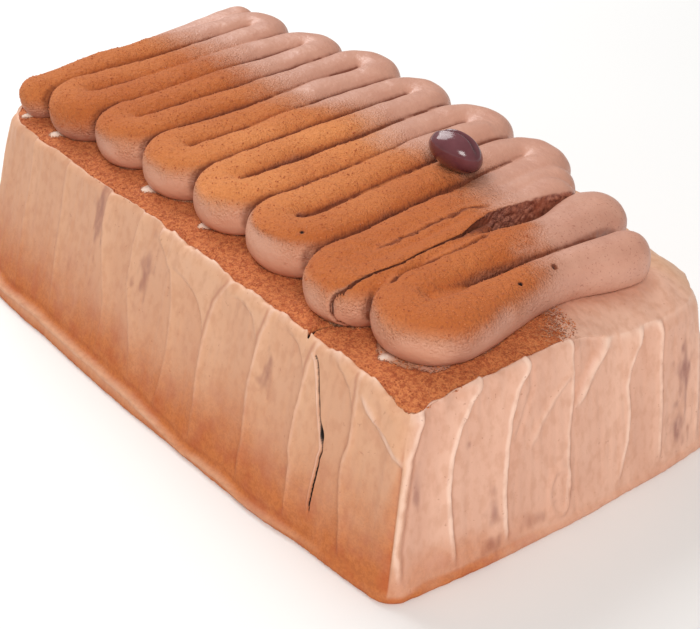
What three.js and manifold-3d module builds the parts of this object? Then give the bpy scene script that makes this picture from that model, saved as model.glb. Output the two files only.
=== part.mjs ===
import * as THREE from 'three';
import Module from 'manifold-3d';
import { mergeVertices } from 'three/addons/utils/BufferGeometryUtils.js';

const wasm = await Module();
wasm.setup();

// Frosted loaf: X along its length, -Y the near long side, Z up from the middle of its base (mm)
const baseLength = 218;
const baseWidth = 130;
const longBow = { rise: 2.7, curve: 0.00037, middle: -30 };
const endBow = { rise: 1.5, curve: 0.00095, middle: -5 };
const topLength = 208;
const topNear = 52.5;
const topFar = 53.5;
const bodyHeight = 50;
const bodyLevels = [3.5, 5.5, 8, 14, 21, 28, 35, 41, 46, 49.4];
const baseCorners = [18, 6, 16, 16];
const topCorners = [26, 5, 20, 24];
const leastCorner = 1.5;

// Spread strokes of the frosting on the near, front, far and back sides
const strokeCounts = [11, 8, 11, 8];
const strokeShifts = [-3.5, 3.5, 0, 3];
const strokeBends = [4, 8, 4, 8];
const strokeColumns = [0, 0.1, 0.45, 0.85];
const strokeFadeIn = [0.1, 0.28];
const strokeEvenness = 0.55;
const strokeFlank = 1.12;
const ridgeHeight = 0.9;
const ridgeJitter = 0.2;
const ridgeBow = 0.012;
const ridgeCrowding = 0.4;
const bendStart = 0.45;
const strokeHollow = 0.7;

// Foot of thicker cream round the base, and the thin lip left at the edge of the top
const footHeight = 4;
const footBulge = 0.8;
const footInset = 1.2;
const footRound = 1.3;
const footFade = 2;
const lipHeight = 1.3;
const lipEvenness = 0.4;
const lipSides = [1, 0.8, 0, 0];
const lipInsets = [0.7, 2.2, 4.5, 9, 15];
const lipLevels = [1, 0.25, 0, 0, 0];
const lipFlatten = 6;

// Low round shoulder of the top at its far front corner, from these places along the front and far edges
const shoulderDrop = 8.2;
const shoulderReach = 15;
const shoulderBase = 15;
const frontShoulder = [-8, 18];
const farShoulder = [52, 86];
const frontStrip = [80, 100];
const farStrip = [20, 45];

// Piped rope: near and far place of each strand along the cake, from the back end to the front
const mainNear = [-87, -73.5, -62.5, -50.2, -37.6, -25.3, -13.1, -0.5, 12.5, 25.4, 39, 54, 66.5];
const mainFar = [-90, -77.5, -66.5, -54.7, -42.1, -29.8, -17.6, -5, 8, 20.9, 33.5, 46.2, 58.5];
const nearReach = [-41, -39.5, -37.5, -36.5, -36, -36.5, -39];
const farReach = [39, 43, 47, 46, 47, 45];
const tornReach = 34;
const taperRun = 24;
const startTaper = 0.14;
const strandHalfWidth = 7;
const strandHeight = 13.5;
const strandSag = 0.8;
const strandSpread = 0.08;
const strandWander = 0.5;
const wanderPitch = 0.09;
const strandRun = [-32, 38];
const sectionFoot = Math.PI * 0.345;
const strandSides = 10;
const strandSteps = 4;
const turnSteps = 14;
const turnOverlap = 0.3;
const ropeGap = 0.2;

// Uneven strands as [y, x, half width, height]: the low start of the rope behind its first strand,
// and the two of the last lobe, before the cut
const startStrand = [
  [-2, -95.5, 5.6, 9.6], [12, -96.5, 6, 10.8], [26, -97.5, 6.4, 12.2], [37, -98, 6.6, 13],
];
const broadStrand = [
  [-28, 75.3, 7.2, 13.5], [-20, 75, 7.4, 13.5], [-11, 73.2, 7.8, 13.6], [-4, 72.8, 8.2, 13.6],
  [2, 73.6, 8.4, 13.5], [7, 74.7, 8.5, 13.4], [12.5, 75.4, 8.4, 13.3], [17, 75, 8.4, 13.2],
  [21.5, 74.2, 8.5, 13.1], [28, 72.2, 8.8, 12.9], [34.5, 70.6, 9.6, 12.6],
];
const lastStrand = [
  [-28, 90.3, 7.7, 13.5], [-22, 90, 7.6, 13.4], [-12, 88.4, 6.4, 12.9], [0, 86.7, 5, 12],
  [9, 86.4, 4.8, 11.7], [16, 87.8, 5.9, 12], [22, 89.3, 6.8, 12.3], [27.5, 89.7, 6.7, 12.2],
];

// Cut: the left wall of its gap across the top, its gape, how far the sliver of the cut strand reaches
// on its other side, and its line down the near side
const cutLine = [
  [66.3, -50.5], [63.6, -46.8], [65.3, -44.2], [66.9, -42], [67.4, -38], [67.7, -26], [66.6, -19],
  [66.2, -14], [65.8, -9], [65.5, -5], [64.6, -2.5], [63.2, 1], [62.1, 4], [61.5, 8], [61.6, 13],
  [61.9, 18], [62.3, 24], [63, 30], [63.6, 35], [63.8, 41], [63.8, 64],
];
const cutGape = 0.6;
const sliverReach = -2;
const cutWidth = 0.9;
const cutDepth = 10;
const slitLine = [[66, 53], [69.5, 48], [73, 38], [78, 29], [79, 17], [78, 9]];
const slitDepth = 2.5;

// Chocolate coffee bean pressed into the crest of one strand
const beanLength = 17;
const beanWidth = 13.5;
const beanThickness = 10.8;
const beanSegments = [20, 12];
const beanPlace = [36.8, 17.2];
const beanSink = 1.7;
const beanRoll = -0.7;
const beanUnderside = 0.85;
const creaseDepth = 1;
const creaseWidth = 0.16;
const creaseWave = 0.12;
const beanClearance = 0.3;

// Repeatable scatter between 0 and 1 for hand-made unevenness
function scatter(seed) {
  const value = Math.sin(seed * 127.1 + 11.7) * 43758.5453;
  return value - Math.floor(value);
}

function smooth(from, to, value) {
  return THREE.MathUtils.smoothstep(value, from, to);
}

function toSolid(geometry) {
  const bare = geometry.clone();
  bare.deleteAttribute('normal');
  bare.deleteAttribute('uv');
  const merged = mergeVertices(bare, 1e-4);
  const mesh = new wasm.Mesh({
    numProp: 3,
    vertProperties: Float32Array.from(merged.attributes.position.array),
    triVerts: Uint32Array.from(merged.index.array),
  });
  return new wasm.Manifold(mesh);
}

function toGeometry(solid) {
  const mesh = solid.getMesh();
  const geometry = new THREE.BufferGeometry();
  geometry.setAttribute('position', new THREE.BufferAttribute(mesh.vertProperties, 3));
  geometry.setIndex(new THREE.BufferAttribute(mesh.triVerts, 1));
  geometry.computeVertexNormals();
  return geometry;
}

// Closed skin over a stack of rings with equal point counts, capped at both ends
function skin(rings) {
  const count = rings[0].length;
  const positions = rings.flat();
  const index = [];
  for (let row = 0; row + 1 < rings.length; row += 1) {
    for (let k = 0; k < count; k += 1) {
      const a = row * count + k;
      const b = row * count + (k + 1) % count;
      index.push(a, b, b + count, a, b + count, a + count);
    }
  }
  const last = (rings.length - 1) * count;
  const hubs = [rings[0], rings[rings.length - 1]].map((ring) => middle(ring));
  positions.push(...hubs);
  for (let k = 0; k < count; k += 1) {
    const next = (k + 1) % count;
    index.push(rings.length * count, next, k);
    index.push(rings.length * count + 1, last + k, last + next);
  }
  const geometry = new THREE.BufferGeometry();
  geometry.setAttribute('position', new THREE.Float32BufferAttribute(positions.flat(), 3));
  geometry.setIndex(index);
  return geometry;
}

function middle(ring) {
  const sum = ring.reduce((total, point) => total.map((value, axis) => value + point[axis]), [0, 0, 0]);
  return sum.map((value) => value / ring.length);
}

// Rounded corner of the loaf at a height between 0 (base) and 1 (top), and a point along one side
function corner(number, height, inset) {
  const fullRadius = THREE.MathUtils.lerp(baseCorners[number], topCorners[number], height);
  const radius = Math.max(leastCorner, fullRadius - inset);
  const halfLength = THREE.MathUtils.lerp(baseLength, topLength, height) / 2 - inset;
  const near = THREE.MathUtils.lerp(baseWidth / 2, topNear, height) - inset;
  const far = THREE.MathUtils.lerp(baseWidth / 2, topFar, height) - inset;
  const x = number === 1 || number === 2 ? halfLength - radius : radius - halfLength;
  const y = number < 2 ? radius - near : far - radius;
  return { x, y, radius };
}

// The base swells a little towards the middle of each side
function swell(bow, place, half, height) {
  return 1 + (1 - height) * (bow.rise - bow.curve * (place - bow.middle) ** 2) / half;
}

function sidePoint(side, along, height, inset) {
  const from = corner(side, height, inset);
  const to = corner((side + 1) % 4, height, inset);
  const facing = Math.PI * (side / 2 - 0.5);
  const straight = Math.hypot(
    to.x + to.radius * Math.cos(facing) - from.x - from.radius * Math.cos(facing),
    to.y + to.radius * Math.sin(facing) - from.y - from.radius * Math.sin(facing),
  );
  const lead = from.radius * Math.PI / 4;
  const tail = to.radius * Math.PI / 4;
  const run = along * (lead + straight + tail);
  const onLead = run < lead;
  const onTail = run > lead + straight;
  const centre = onTail ? to : from;
  let angle = facing;
  if (onLead) angle = facing - Math.PI / 4 + run / from.radius;
  if (onTail) angle = facing + (run - lead - straight) / to.radius;
  const slide = onLead || onTail ? 0 : run - lead;
  const outward = [Math.cos(angle), Math.sin(angle)];
  const x = centre.x + outward[0] * centre.radius - slide * Math.sin(facing);
  const y = centre.y + outward[1] * centre.radius + slide * Math.cos(facing);
  const swollenX = x * swell(endBow, y, baseLength / 2, height);
  const swollenY = y * swell(longBow, x, baseWidth / 2, height);
  return { x: swollenX, y: swollenY, outward };
}

// Ridge between two strokes: unevenly spaced, bending to the right towards the top
function ridgeAlong(side, stroke, height) {
  const count = strokeCounts[side];
  if (stroke === 0 || stroke === count) return stroke / count;
  const sideLength = side % 2 === 0 ? topLength : topNear + topFar;
  const jitter = ridgeJitter * (scatter(side * 31 + stroke) - 0.5) / count;
  const shift = strokeShifts[side] / sideLength;
  const bend = strokeBends[side] * smooth(bendStart, 1, height) ** 2 / sideLength;
  const bow = ridgeBow * Math.sin(Math.PI * height);
  const limit = 1 - ridgeCrowding * (count - stroke) / count;
  return Math.min(limit, stroke / count + jitter + shift + bend - bow);
}

function strokeRelief(side, stroke, across, height) {
  const depth = THREE.MathUtils.lerp(strokeEvenness, 1, scatter(side * 17 + stroke * 3));
  const strength = smooth(...strokeFadeIn, height) * depth;
  const crest = across === 0 ? ridgeHeight : 0;
  return strength * (crest - strokeHollow * Math.sin(Math.PI * Math.min(1, across * strokeFlank)));
}

function footRelief(level) {
  const bulge = footBulge * (1 - smooth(footHeight - footFade / 4, footHeight + footFade * 3 / 4, level));
  const edge = footInset * (1 - smooth(0, footRound, level));
  return bulge - edge;
}

function bodyColumns() {
  const columns = [];
  strokeCounts.forEach((count, side) => {
    for (let stroke = 0; stroke < count; stroke += 1) {
      strokeColumns.forEach((across) => columns.push({ side, stroke, across }));
    }
  });
  return columns;
}

function shoulderRelief(x, y, level, inset) {
  const front = smooth(...frontShoulder, y) * smooth(...frontStrip, x);
  const far = smooth(...farShoulder, x) * smooth(...farStrip, y);
  const inward = Math.max(0, 1 - inset / shoulderReach) ** 2;
  return shoulderDrop * Math.max(front, far) * inward * smooth(shoulderBase, bodyHeight, level);
}

function bodyRing(columns, level, inset, lift) {
  const height = Math.min(1, level / bodyHeight);
  return columns.map(({ side, stroke, across }) => {
    const start = ridgeAlong(side, stroke, height);
    const end = ridgeAlong(side, stroke + 1, height);
    const along = start + (end - start) * across;
    const { x, y, outward } = sidePoint(side, along, height, inset);
    const ragged = THREE.MathUtils.lerp(lipEvenness, 1, scatter(side * 7 + stroke * 5 + across));
    const rise = lift * lipHeight * lipSides[side] * ragged;
    const fade = Math.sin(Math.PI * along) ** 0.3;
    const flatten = 1 - smooth(0, lipFlatten, inset);
    const out = strokeRelief(side, stroke, across, height) * flatten + footRelief(level);
    const drop = shoulderRelief(x, y, level, inset);
    return [x + outward[0] * out, y + outward[1] * out, level + rise * fade - drop];
  });
}

function cakeBody() {
  const columns = bodyColumns();
  const rings = [0, footRound, ...bodyLevels].map((level) => bodyRing(columns, level, 0, 0));
  lipInsets.forEach((inset, step) => rings.push(bodyRing(columns, bodyHeight, inset, lipLevels[step])));
  return toSolid(skin(rings));
}

// Part of the rope's oval section, as distance across from the strand and height above its seat
function sectionArc(halfWidth, height, from, to, steps) {
  const centre = (height - strandSag) / 2;
  const half = height - centre;
  const points = [];
  for (let step = 0; step <= steps; step += 1) {
    const angle = THREE.MathUtils.lerp(from, to, step / steps);
    points.push([halfWidth * Math.cos(angle), Math.max(0, centre + half * Math.sin(angle))]);
  }
  return points;
}

function strandSize(number) {
  const halfWidth = strandHalfWidth * (0.98 + strandSpread * scatter(number + 40));
  const height = strandHeight * (0.96 + strandSpread * scatter(number + 70));
  return { halfWidth, height };
}

// Place of one strand of a run at a given Y, with the slight wander of hand piping
function strandPlace(run, number, y) {
  const share = smooth(...strandRun, y);
  const wander = strandWander * Math.sin(y * wanderPitch + number * 1.7);
  return THREE.MathUtils.lerp(run.near[number], run.far[number], share) + wander;
}

// Size of a strand at a place along it, thinner towards the near end of the first one
function taperedSize(run, number, y) {
  const { halfWidth, height } = strandSize(number);
  const loss = number === 0 ? startTaper * (1 - smooth(0, taperRun, y - run.startReach)) : 0;
  return { halfWidth: halfWidth * Math.sqrt(1 - loss), height: height * (1 - loss) };
}

// Length of rope through places given as [y, x, half width, height]
function sweep(places) {
  return toSolid(skin(places.map(([y, x, halfWidth, height]) => {
    const section = sectionArc(halfWidth, height, Math.PI + sectionFoot, -sectionFoot, strandSides);
    return section.map(([across, up]) => [x + across, y, bodyHeight + ropeGap + up]);
  })));
}

// One strand between its two turns
function strand(run, number, nearY, farY) {
  const places = [];
  for (let step = 0; step <= strandSteps; step += 1) {
    const y = THREE.MathUtils.lerp(nearY, farY, step / strandSteps);
    const { halfWidth, height } = taperedSize(run, number, y);
    places.push([y, strandPlace(run, number, y), halfWidth, height]);
  }
  return sweep(places);
}

// Half a turned ring, joining two neighbouring strands or closing a free end
function turn(x, y, radius, size, side) {
  const { halfWidth, height } = size;
  const inner = Math.PI - Math.acos(Math.min(1, radius / halfWidth));
  const arc = sectionArc(halfWidth, height, inner, -sectionFoot, strandSides);
  const profile = arc.map(([across, up]) => new THREE.Vector2(Math.max(0, radius + across), up));
  profile.unshift(new THREE.Vector2(0, profile[0].y));
  profile.push(new THREE.Vector2(0, 0));
  const ring = new THREE.LatheGeometry(profile.reverse(), turnSteps);
  ring.rotateX(Math.PI / 2);
  ring.translate(x, y, bodyHeight + ropeGap);
  const reach = radius + halfWidth + 1;
  const half = new THREE.BoxGeometry(reach * 2, reach, height * 3);
  half.translate(x, y + side * (reach / 2 - turnOverlap), bodyHeight + height);
  return toSolid(ring).intersect(toSolid(half));
}

function meanSize(first, second) {
  const a = strandSize(first);
  const b = strandSize(second);
  return { halfWidth: (a.halfWidth + b.halfWidth) / 2, height: (a.height + b.height) / 2 };
}

// Turn that joins a strand to the next one, with the Y where both strands leave it
function turnAt(run, first, y, side) {
  const radius = (strandPlace(run, first + 1, y) - strandPlace(run, first, y)) / 2;
  const centreY = y - side * radius;
  const x = (strandPlace(run, first, centreY) + strandPlace(run, first + 1, centreY)) / 2;
  return { piece: turn(x, centreY, radius, meanSize(first, first + 1), side), centreY };
}

function freeEnd(run, number, y, side) {
  return turn(strandPlace(run, number, y), y, 0, taperedSize(run, number, y), side);
}

function roundEnd([y, x, halfWidth, height], side) {
  return turn(x, y, 0, { halfWidth, height }, side);
}

// Rope with far turns and near turns in alternation
function ropeRun(run) {
  const pieces = [];
  const nearEnds = [];
  const farEnds = [];
  const last = run.near.length - 1;
  for (let first = 0; first < last; first += 1) {
    const far = first % 2 === 0;
    const ends = far ? farEnds : nearEnds;
    const reaches = far ? run.farReach : run.nearReach;
    const { piece, centreY } = turnAt(run, first, reaches[Math.floor(first / 2)], far ? 1 : -1);
    ends[first] = centreY;
    ends[first + 1] = centreY;
    pieces.push(piece);
  }
  nearEnds[0] = run.startReach;
  farEnds[last] = run.endReach;
  pieces.push(freeEnd(run, 0, run.startReach, -1));
  pieces.push(freeEnd(run, last, run.endReach, 1));
  run.near.forEach((place, number) => {
    pieces.push(strand(run, number, nearEnds[number], farEnds[number]));
  });
  return pieces.reduce((joined, piece) => joined.add(piece));
}

// Low strand behind the first one, where the piping was begun
function ropeStart() {
  const ends = roundEnd(startStrand[0], -1).add(roundEnd(startStrand[startStrand.length - 1], 1));
  return sweep(startStrand).add(ends);
}

// Rope before the cut: the rest of the lobe that is cut through, and the last lobe
function ropeBeforeCut(run) {
  const last = run.near.length - 1;
  const cutTurn = turnAt(run, last - 1, run.nearReach[run.nearReach.length - 1], -1);
  const sliver = strand(run, last, cutTurn.centreY, sliverReach).add(freeEnd(run, last, sliverReach, 1));
  const [nearY, broadX, broadHalf, height] = broadStrand[0];
  const [, lastX, lastHalf] = lastStrand[0];
  const size = { halfWidth: (broadHalf + lastHalf) / 2, height };
  const lastLobe = turn((broadX + lastX) / 2, nearY, (lastX - broadX) / 2, size, -1);
  const tips = [broadStrand, lastStrand].map((strip) => roundEnd(strip[strip.length - 1], 1));
  const strips = [broadStrand, lastStrand].map((strip) => sweep(strip));
  return [cutTurn.piece, sliver, ...strips, ...tips].reduce((joined, piece) => joined.add(piece), lastLobe);
}

// Upright wall between two plan lines, used to part the rope and to open the top
function planWall(left, right, bottom, top) {
  const outline = [...left, ...[...right].reverse()];
  const shape = new THREE.Shape(outline.map(([x, y]) => new THREE.Vector2(x, y)));
  const wall = new THREE.ExtrudeGeometry(shape, { depth: top - bottom, bevelEnabled: false });
  wall.translate(0, 0, bottom);
  return toSolid(wall);
}

// Line of the cut, moved along the cake
function cutEdge(move) {
  return cutLine.map(([x, y]) => [x + move, y]);
}

function keepBehindCut(rope) {
  const edge = [[cutLine[0][0], -baseWidth], ...cutEdge(0)];
  const outer = edge.map(([, y]) => [-baseLength, y]);
  return rope.intersect(planWall(outer, edge, bodyHeight, bodyHeight + strandHeight * 2));
}

function keepBeforeCut(rope) {
  const edge = [[cutLine[0][0], -baseWidth], ...cutEdge(cutGape)];
  const outer = edge.map(([, y]) => [baseLength, y]);
  return rope.intersect(planWall(edge, outer, bodyHeight, bodyHeight + strandHeight * 2));
}

// Slit in the near side, as a thin band along its line
function sideSlit() {
  const left = slitLine.map(([x, z]) => [x - cutWidth / 2, z]);
  const right = slitLine.map(([x, z]) => [x + cutWidth / 2, z]);
  const shape = new THREE.Shape([...left, ...right.reverse()].map(([x, z]) => new THREE.Vector2(x, z)));
  const band = new THREE.ExtrudeGeometry(shape, { depth: baseWidth / 2, bevelEnabled: false });
  band.rotateX(Math.PI / 2);
  band.translate(0, slitDepth - topNear, 0);
  return toSolid(band);
}

// Coffee bean: an ellipsoid with a wavy crease along its upper side, rolled towards the far side
function beanGeometry(grow) {
  const bean = new THREE.SphereGeometry(1, ...beanSegments);
  const position = bean.attributes.position;
  for (let k = 0; k < position.count; k += 1) {
    const x = position.getX(k);
    const y = position.getZ(k);
    const z = position.getY(k);
    const offset = y - creaseWave * Math.sin(Math.PI * x);
    const crease = z > 0 ? creaseDepth * Math.exp(-((offset / creaseWidth) ** 2)) * (1 - x ** 4) : 0;
    const squash = z < 0 ? beanUnderside : 1;
    position.setXYZ(
      k,
      x * (beanLength / 2 + grow),
      -y * (beanWidth / 2 + grow),
      z * squash * (beanThickness / 2 + grow) - crease,
    );
  }
  bean.rotateX(beanRoll);
  const seat = bodyHeight + ropeGap + strandHeight - beanSink;
  bean.translate(beanPlace[0], beanPlace[1], seat + beanThickness / 2);
  return bean;
}

function named(name, solid, material) {
  const mesh = new THREE.Mesh(toGeometry(solid), material);
  mesh.name = name;
  return mesh;
}

const frosting = new THREE.MeshStandardMaterial({ color: 0xcf9a78, roughness: 0.6, metalness: 0 });
const cocoaCream = new THREE.MeshStandardMaterial({ color: 0xb8733f, roughness: 0.85, metalness: 0 });
const cocoaCreamEnd = cocoaCream.clone();
const chocolate = new THREE.MeshStandardMaterial({ color: 0x35181a, roughness: 0.2, metalness: 0 });

const mainRun = {
  near: mainNear,
  far: mainFar,
  nearReach: nearReach.slice(1),
  farReach,
  startReach: nearReach[0],
  endReach: tornReach,
};

const cutWalls = [cutEdge((cutGape - cutWidth) / 2), cutEdge((cutGape + cutWidth) / 2)];
const topCut = planWall(...cutWalls, bodyHeight - cutDepth, bodyHeight + cutDepth);
const body = cakeBody().subtract(topCut).subtract(sideSlit());
const beanHollow = toSolid(beanGeometry(beanClearance));
const ropeMain = keepBehindCut(ropeRun(mainRun).add(ropeStart())).subtract(beanHollow);
const ropeEnd = keepBeforeCut(ropeBeforeCut(mainRun));

const mochaCake = new THREE.Group();
mochaCake.add(named('cake_body', body, frosting));
mochaCake.add(named('piped_rope', ropeMain, cocoaCream));
mochaCake.add(named('piped_rope_end', ropeEnd, cocoaCreamEnd));
mochaCake.add(named('coffee_bean', toSolid(beanGeometry(0)), chocolate));

export default mochaCake;
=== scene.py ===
import math

import bpy
import numpy as np
from mathutils import Matrix, Vector


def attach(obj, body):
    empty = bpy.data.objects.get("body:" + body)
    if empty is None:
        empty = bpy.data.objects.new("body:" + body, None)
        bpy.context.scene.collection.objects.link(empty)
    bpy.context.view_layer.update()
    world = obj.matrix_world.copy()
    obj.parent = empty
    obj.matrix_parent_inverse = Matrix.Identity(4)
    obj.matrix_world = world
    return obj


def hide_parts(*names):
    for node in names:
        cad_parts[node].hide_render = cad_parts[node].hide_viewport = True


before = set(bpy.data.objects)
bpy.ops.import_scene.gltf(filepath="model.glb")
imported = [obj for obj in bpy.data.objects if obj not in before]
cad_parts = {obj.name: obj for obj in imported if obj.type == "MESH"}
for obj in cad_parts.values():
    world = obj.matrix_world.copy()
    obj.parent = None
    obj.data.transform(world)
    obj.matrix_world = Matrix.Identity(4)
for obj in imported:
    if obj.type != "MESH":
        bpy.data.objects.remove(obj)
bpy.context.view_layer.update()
mm = 0.001  # shapes are worked out in millimetres


# Small maths for whole arrays

def smooth(low, high, value):
    share = np.clip((value - low) / (high - low), 0, 1)
    return share * share * (3 - 2 * share)


def between(low, high, share):
    return low + (high - low) * share


def bell(value, width):
    return np.exp(-((value / width) ** 2))


def lattice(cells, seed):  # a repeatable value between -1 and 1 for each whole-number cell
    mixed = cells[..., 0] * 73856093 ^ cells[..., 1] * 19349663 ^ cells[..., 2] * 83492791
    mixed = (mixed + seed * 40503) & 0x7FFFFFFF
    mixed = (mixed ^ (mixed >> 13)) * 1274126177 & 0x7FFFFFFF
    mixed = (mixed ^ (mixed >> 15)) * 668265263 & 0x7FFFFFFF
    return (mixed >> 8) % 32768 / 16383.5 - 1


def noise(x, y, z, cell, seed):  # smooth noise between -1 and 1, with lumps about one cell wide
    spot = np.stack(np.broadcast_arrays(x, y, z), -1) / np.array(cell, float)
    corner = np.floor(spot).astype(np.int64)
    share = spot - corner
    share = share * share * (3 - 2 * share)
    total = 0
    for number in range(8):
        step = np.array((number & 1, number >> 1 & 1, number >> 2))
        weight = np.prod(np.where(step == 1, share, 1 - share), -1)
        total = total + weight * lattice(corner + step, seed)
    return total


def layered(x, y, z, layers):  # noises added up, each given as strength, size of its lumps and seed
    return sum(strength * noise(x, y, z, cell, seed) for strength, cell, seed in layers)


def within(ends, value):  # rises over the first pair of values and falls over the second
    return smooth(*ends[0], value) * smooth(*ends[1], value)


def spotted(spots, x, y):  # round spots added up, each given as place and radius
    return sum(bell(np.hypot(x - spotX, y - spotY), radius) for spotX, spotY, radius in spots)


def lineAt(line, height):  # place along a given line of (place, height) points
    places, heights = zip(*line)
    return np.interp(height, heights, places)


# Meshes

def makePiece(name, points, faces, finish, marks=None, replaced=None):
    mesh = bpy.data.meshes.new(name)
    mesh.from_pydata((points * mm).tolist(), [], faces)
    mesh.shade_smooth()
    for mark, values in (marks or {}).items():
        attribute = mesh.attributes.new(mark, "FLOAT", "POINT")
        attribute.data.foreach_set("value", np.ravel(values).astype(np.float32))
    mesh.materials.append(finish)
    piece = bpy.data.objects.new(name, mesh)
    bpy.context.scene.collection.objects.link(piece)
    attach(piece, "root")
    if replaced:
        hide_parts(replaced)
    print(name, len(points), "points", len(faces), "faces")
    return piece


def pointNormals(points, quads):
    a, b, c, d = (points[quads[:, k]] for k in range(4))
    face = np.cross(c - a, d - b)
    normal = np.zeros_like(points)
    for axis in range(3):
        for k in range(4):
            normal[:, axis] += np.bincount(quads[:, k], face[:, axis], len(points))
    return normal / np.maximum(np.linalg.norm(normal, axis=1, keepdims=True), 1e-9)


def surfaceNet(field, low, step):  # skin where a field of distances changes sign
    size = tuple(np.array(field.shape) - 1)
    cells = int(np.prod(size))
    count = np.zeros(cells)
    total = np.zeros((cells, 3))
    quads = []
    for axis in range(3):
        one, two = (axis + 1) % 3, (axis + 2) % 3
        near = [slice(1, -1)] * 3
        far = [slice(1, -1)] * 3
        near[axis], far[axis] = slice(None, -1), slice(1, None)
        a, b = field[tuple(near)], field[tuple(far)]
        crossing = (a < 0) != (b < 0)
        index = np.argwhere(crossing)
        index[:, [one, two]] += 1
        a, b = a[crossing], b[crossing]
        spot = index.astype(float)
        spot[:, axis] += a / (a - b)
        ring = []
        for back, down in ((1, 1), (0, 1), (0, 0), (1, 0)):
            cell = index.copy()
            cell[:, one] -= back
            cell[:, two] -= down
            flat = np.ravel_multi_index(cell.T, size)
            count += np.bincount(flat, minlength=cells)
            for k in range(3):
                total[:, k] += np.bincount(flat, spot[:, k], cells)
            ring.append(flat)
        quad = np.stack(ring, 1)
        quads.append(np.where((a < 0)[:, None], quad, quad[:, ::-1]))
    used = count > 0
    number = np.cumsum(used) - 1
    points = low + step * total[used] / count[used][:, None]
    return points, number[np.concatenate(quads)]


def relax(points, quads, times, amount):
    pairs = np.concatenate([quads[:, [k, (k + 1) % 4]] for k in range(4)])
    degree = np.bincount(pairs[:, 0], minlength=len(points))[:, None]
    for _ in range(times):
        sums = [np.bincount(pairs[:, 0], points[pairs[:, 1], k], len(points)) for k in range(3)]
        points = points + amount * (np.stack(sums, 1) / degree - points)
    return points


# Shader maths

class Wire:  # an output socket that can stand in a sum
    def __init__(self, finish, socket):
        self.finish = finish
        self.socket = socket

    def math(self, operation, first, second):
        return self.finish.node("Math", {"operation": operation}, {0: first, 1: second})

    def __add__(self, other):
        return self.math("ADD", self, other)

    def __radd__(self, other):
        return self.math("ADD", other, self)

    def __sub__(self, other):
        return self.math("SUBTRACT", self, other)

    def __rsub__(self, other):
        return self.math("SUBTRACT", other, self)

    def __mul__(self, other):
        return self.math("MULTIPLY", self, other)

    def __rmul__(self, other):
        return self.math("MULTIPLY", other, self)


class Finish:  # one material and the nodes in it
    def __init__(self, name):
        self.material = bpy.data.materials.new(name)
        self.material.use_nodes = True
        self.tree = self.material.node_tree
        self.shader = self.tree.nodes["Principled BSDF"]
        self.place = self.node("TexCoord", {}, {}, "Object")

    def node(self, kind, settings, sockets, output=0):
        node = self.tree.nodes.new("ShaderNode" + kind)
        for name, value in settings.items():
            setattr(node, name, value)
        for name, value in sockets.items():
            self.feed(node.inputs[name], value)
        return Wire(self, node.outputs[output])

    def feed(self, socket, value):
        if isinstance(value, Wire):
            self.tree.links.new(value.socket, socket)
        else:
            socket.default_value = value

    def mark(self, name):
        return self.node("Attribute", {"attribute_name": name}, {}, "Fac")

    def speckle(self, size, detail=2.0, stretch=None):  # noise from 0 to 1, with lumps of a size in mm
        place = self.place
        if stretch:
            place = self.node("VectorMath", {"operation": "MULTIPLY"}, {0: place, 1: stretch})
        sockets = {"Vector": place, "Scale": 1000 / size, "Detail": detail}
        return self.node("TexNoise", {}, sockets, "Fac")

    def ramp(self, value, low, high):  # smooth step from 0 to 1
        sockets = {"Value": value, "From Min": low, "From Max": high}
        return self.node("MapRange", {"interpolation_type": "SMOOTHSTEP"}, sockets)

    def blend(self, share, first, second):
        settings = {"data_type": "RGBA", "clamp_factor": True}
        return self.node("Mix", settings, {0: share, 6: first, 7: second}, 2)

    def relief(self, height, depth):  # depth in mm
        return self.node("Bump", {}, {"Height": height, "Distance": depth * mm, "Strength": 1.0})

    def surface(self, **sockets):
        for name, value in sockets.items():
            self.feed(self.shader.inputs[name.replace("_", " ")], value)
        return self.material


def tone(red, green, blue):  # a screen colour as the shader's own numbers
    parts = [part / 255 for part in (red, green, blue)]
    return tuple(p / 12.92 if p < 0.04045 else ((p + 0.055) / 1.055) ** 2.4 for p in parts) + (1.0,)


# Piped rope: laid to and fro across the top, parted by the cut

rope = dict(
    near=(-87, -73.5, -62.5, -50.2, -37.6, -25.3, -13.1, -0.5, 12.5, 25.4, 39, 54, 66.5),
    far=(-90, -77.5, -66.5, -54.7, -42.1, -29.8, -17.6, -5, 8, 20.9, 33.5, 46.2, 58.5),
    nearReach=(-39.5, -37.5, -36.5, -36, -36.5, -39), farReach=(39, 43, 47, 46, 47, 45),
    startReach=-41, tornReach=32, taperRun=24, startTaper=0.14,
    halfWidth=7.1, height=13.5, sag=0.8, fullness=2.35, run=(-32, 38),
    leastWidth=0.98, leastHeight=0.96, spread=0.08, widthSeed=40, heightSeed=70,  # no two strands are alike
    wander=0.5, wanderTurn=0.09, wanderStep=1.7, easing=(-4, -2, 0, 2, 4),
    crease=0.3, seat=49.85, grid=0.5, mainX=(-110, 74), endX=(50, 104), fieldY=(-54, 62), fieldTop=16.5,
    slabs=24, relaxing=(2, 0.5), fieldReach=7, farAway=12.0,
    lumps=((0.4, 11, 1), (0.2, 4.5, 2)), fineLumps=((1, 1.3, 6),), dustLumps=0.1, creaseLumps=0.25,
    lumpsFrom=(0.2, 2), lumpsBeside=(0.3, 2), poresX=(62, 76), poresY=(-14, 6),
    pits=((88.7, 3.8, 0.45), (90.6, -8.5, 0.4), (31.8, -29.8, 0.4), (41, -35.8, 0.45)),
    pitDepth=1.6, pitAbove=6,
)
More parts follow.
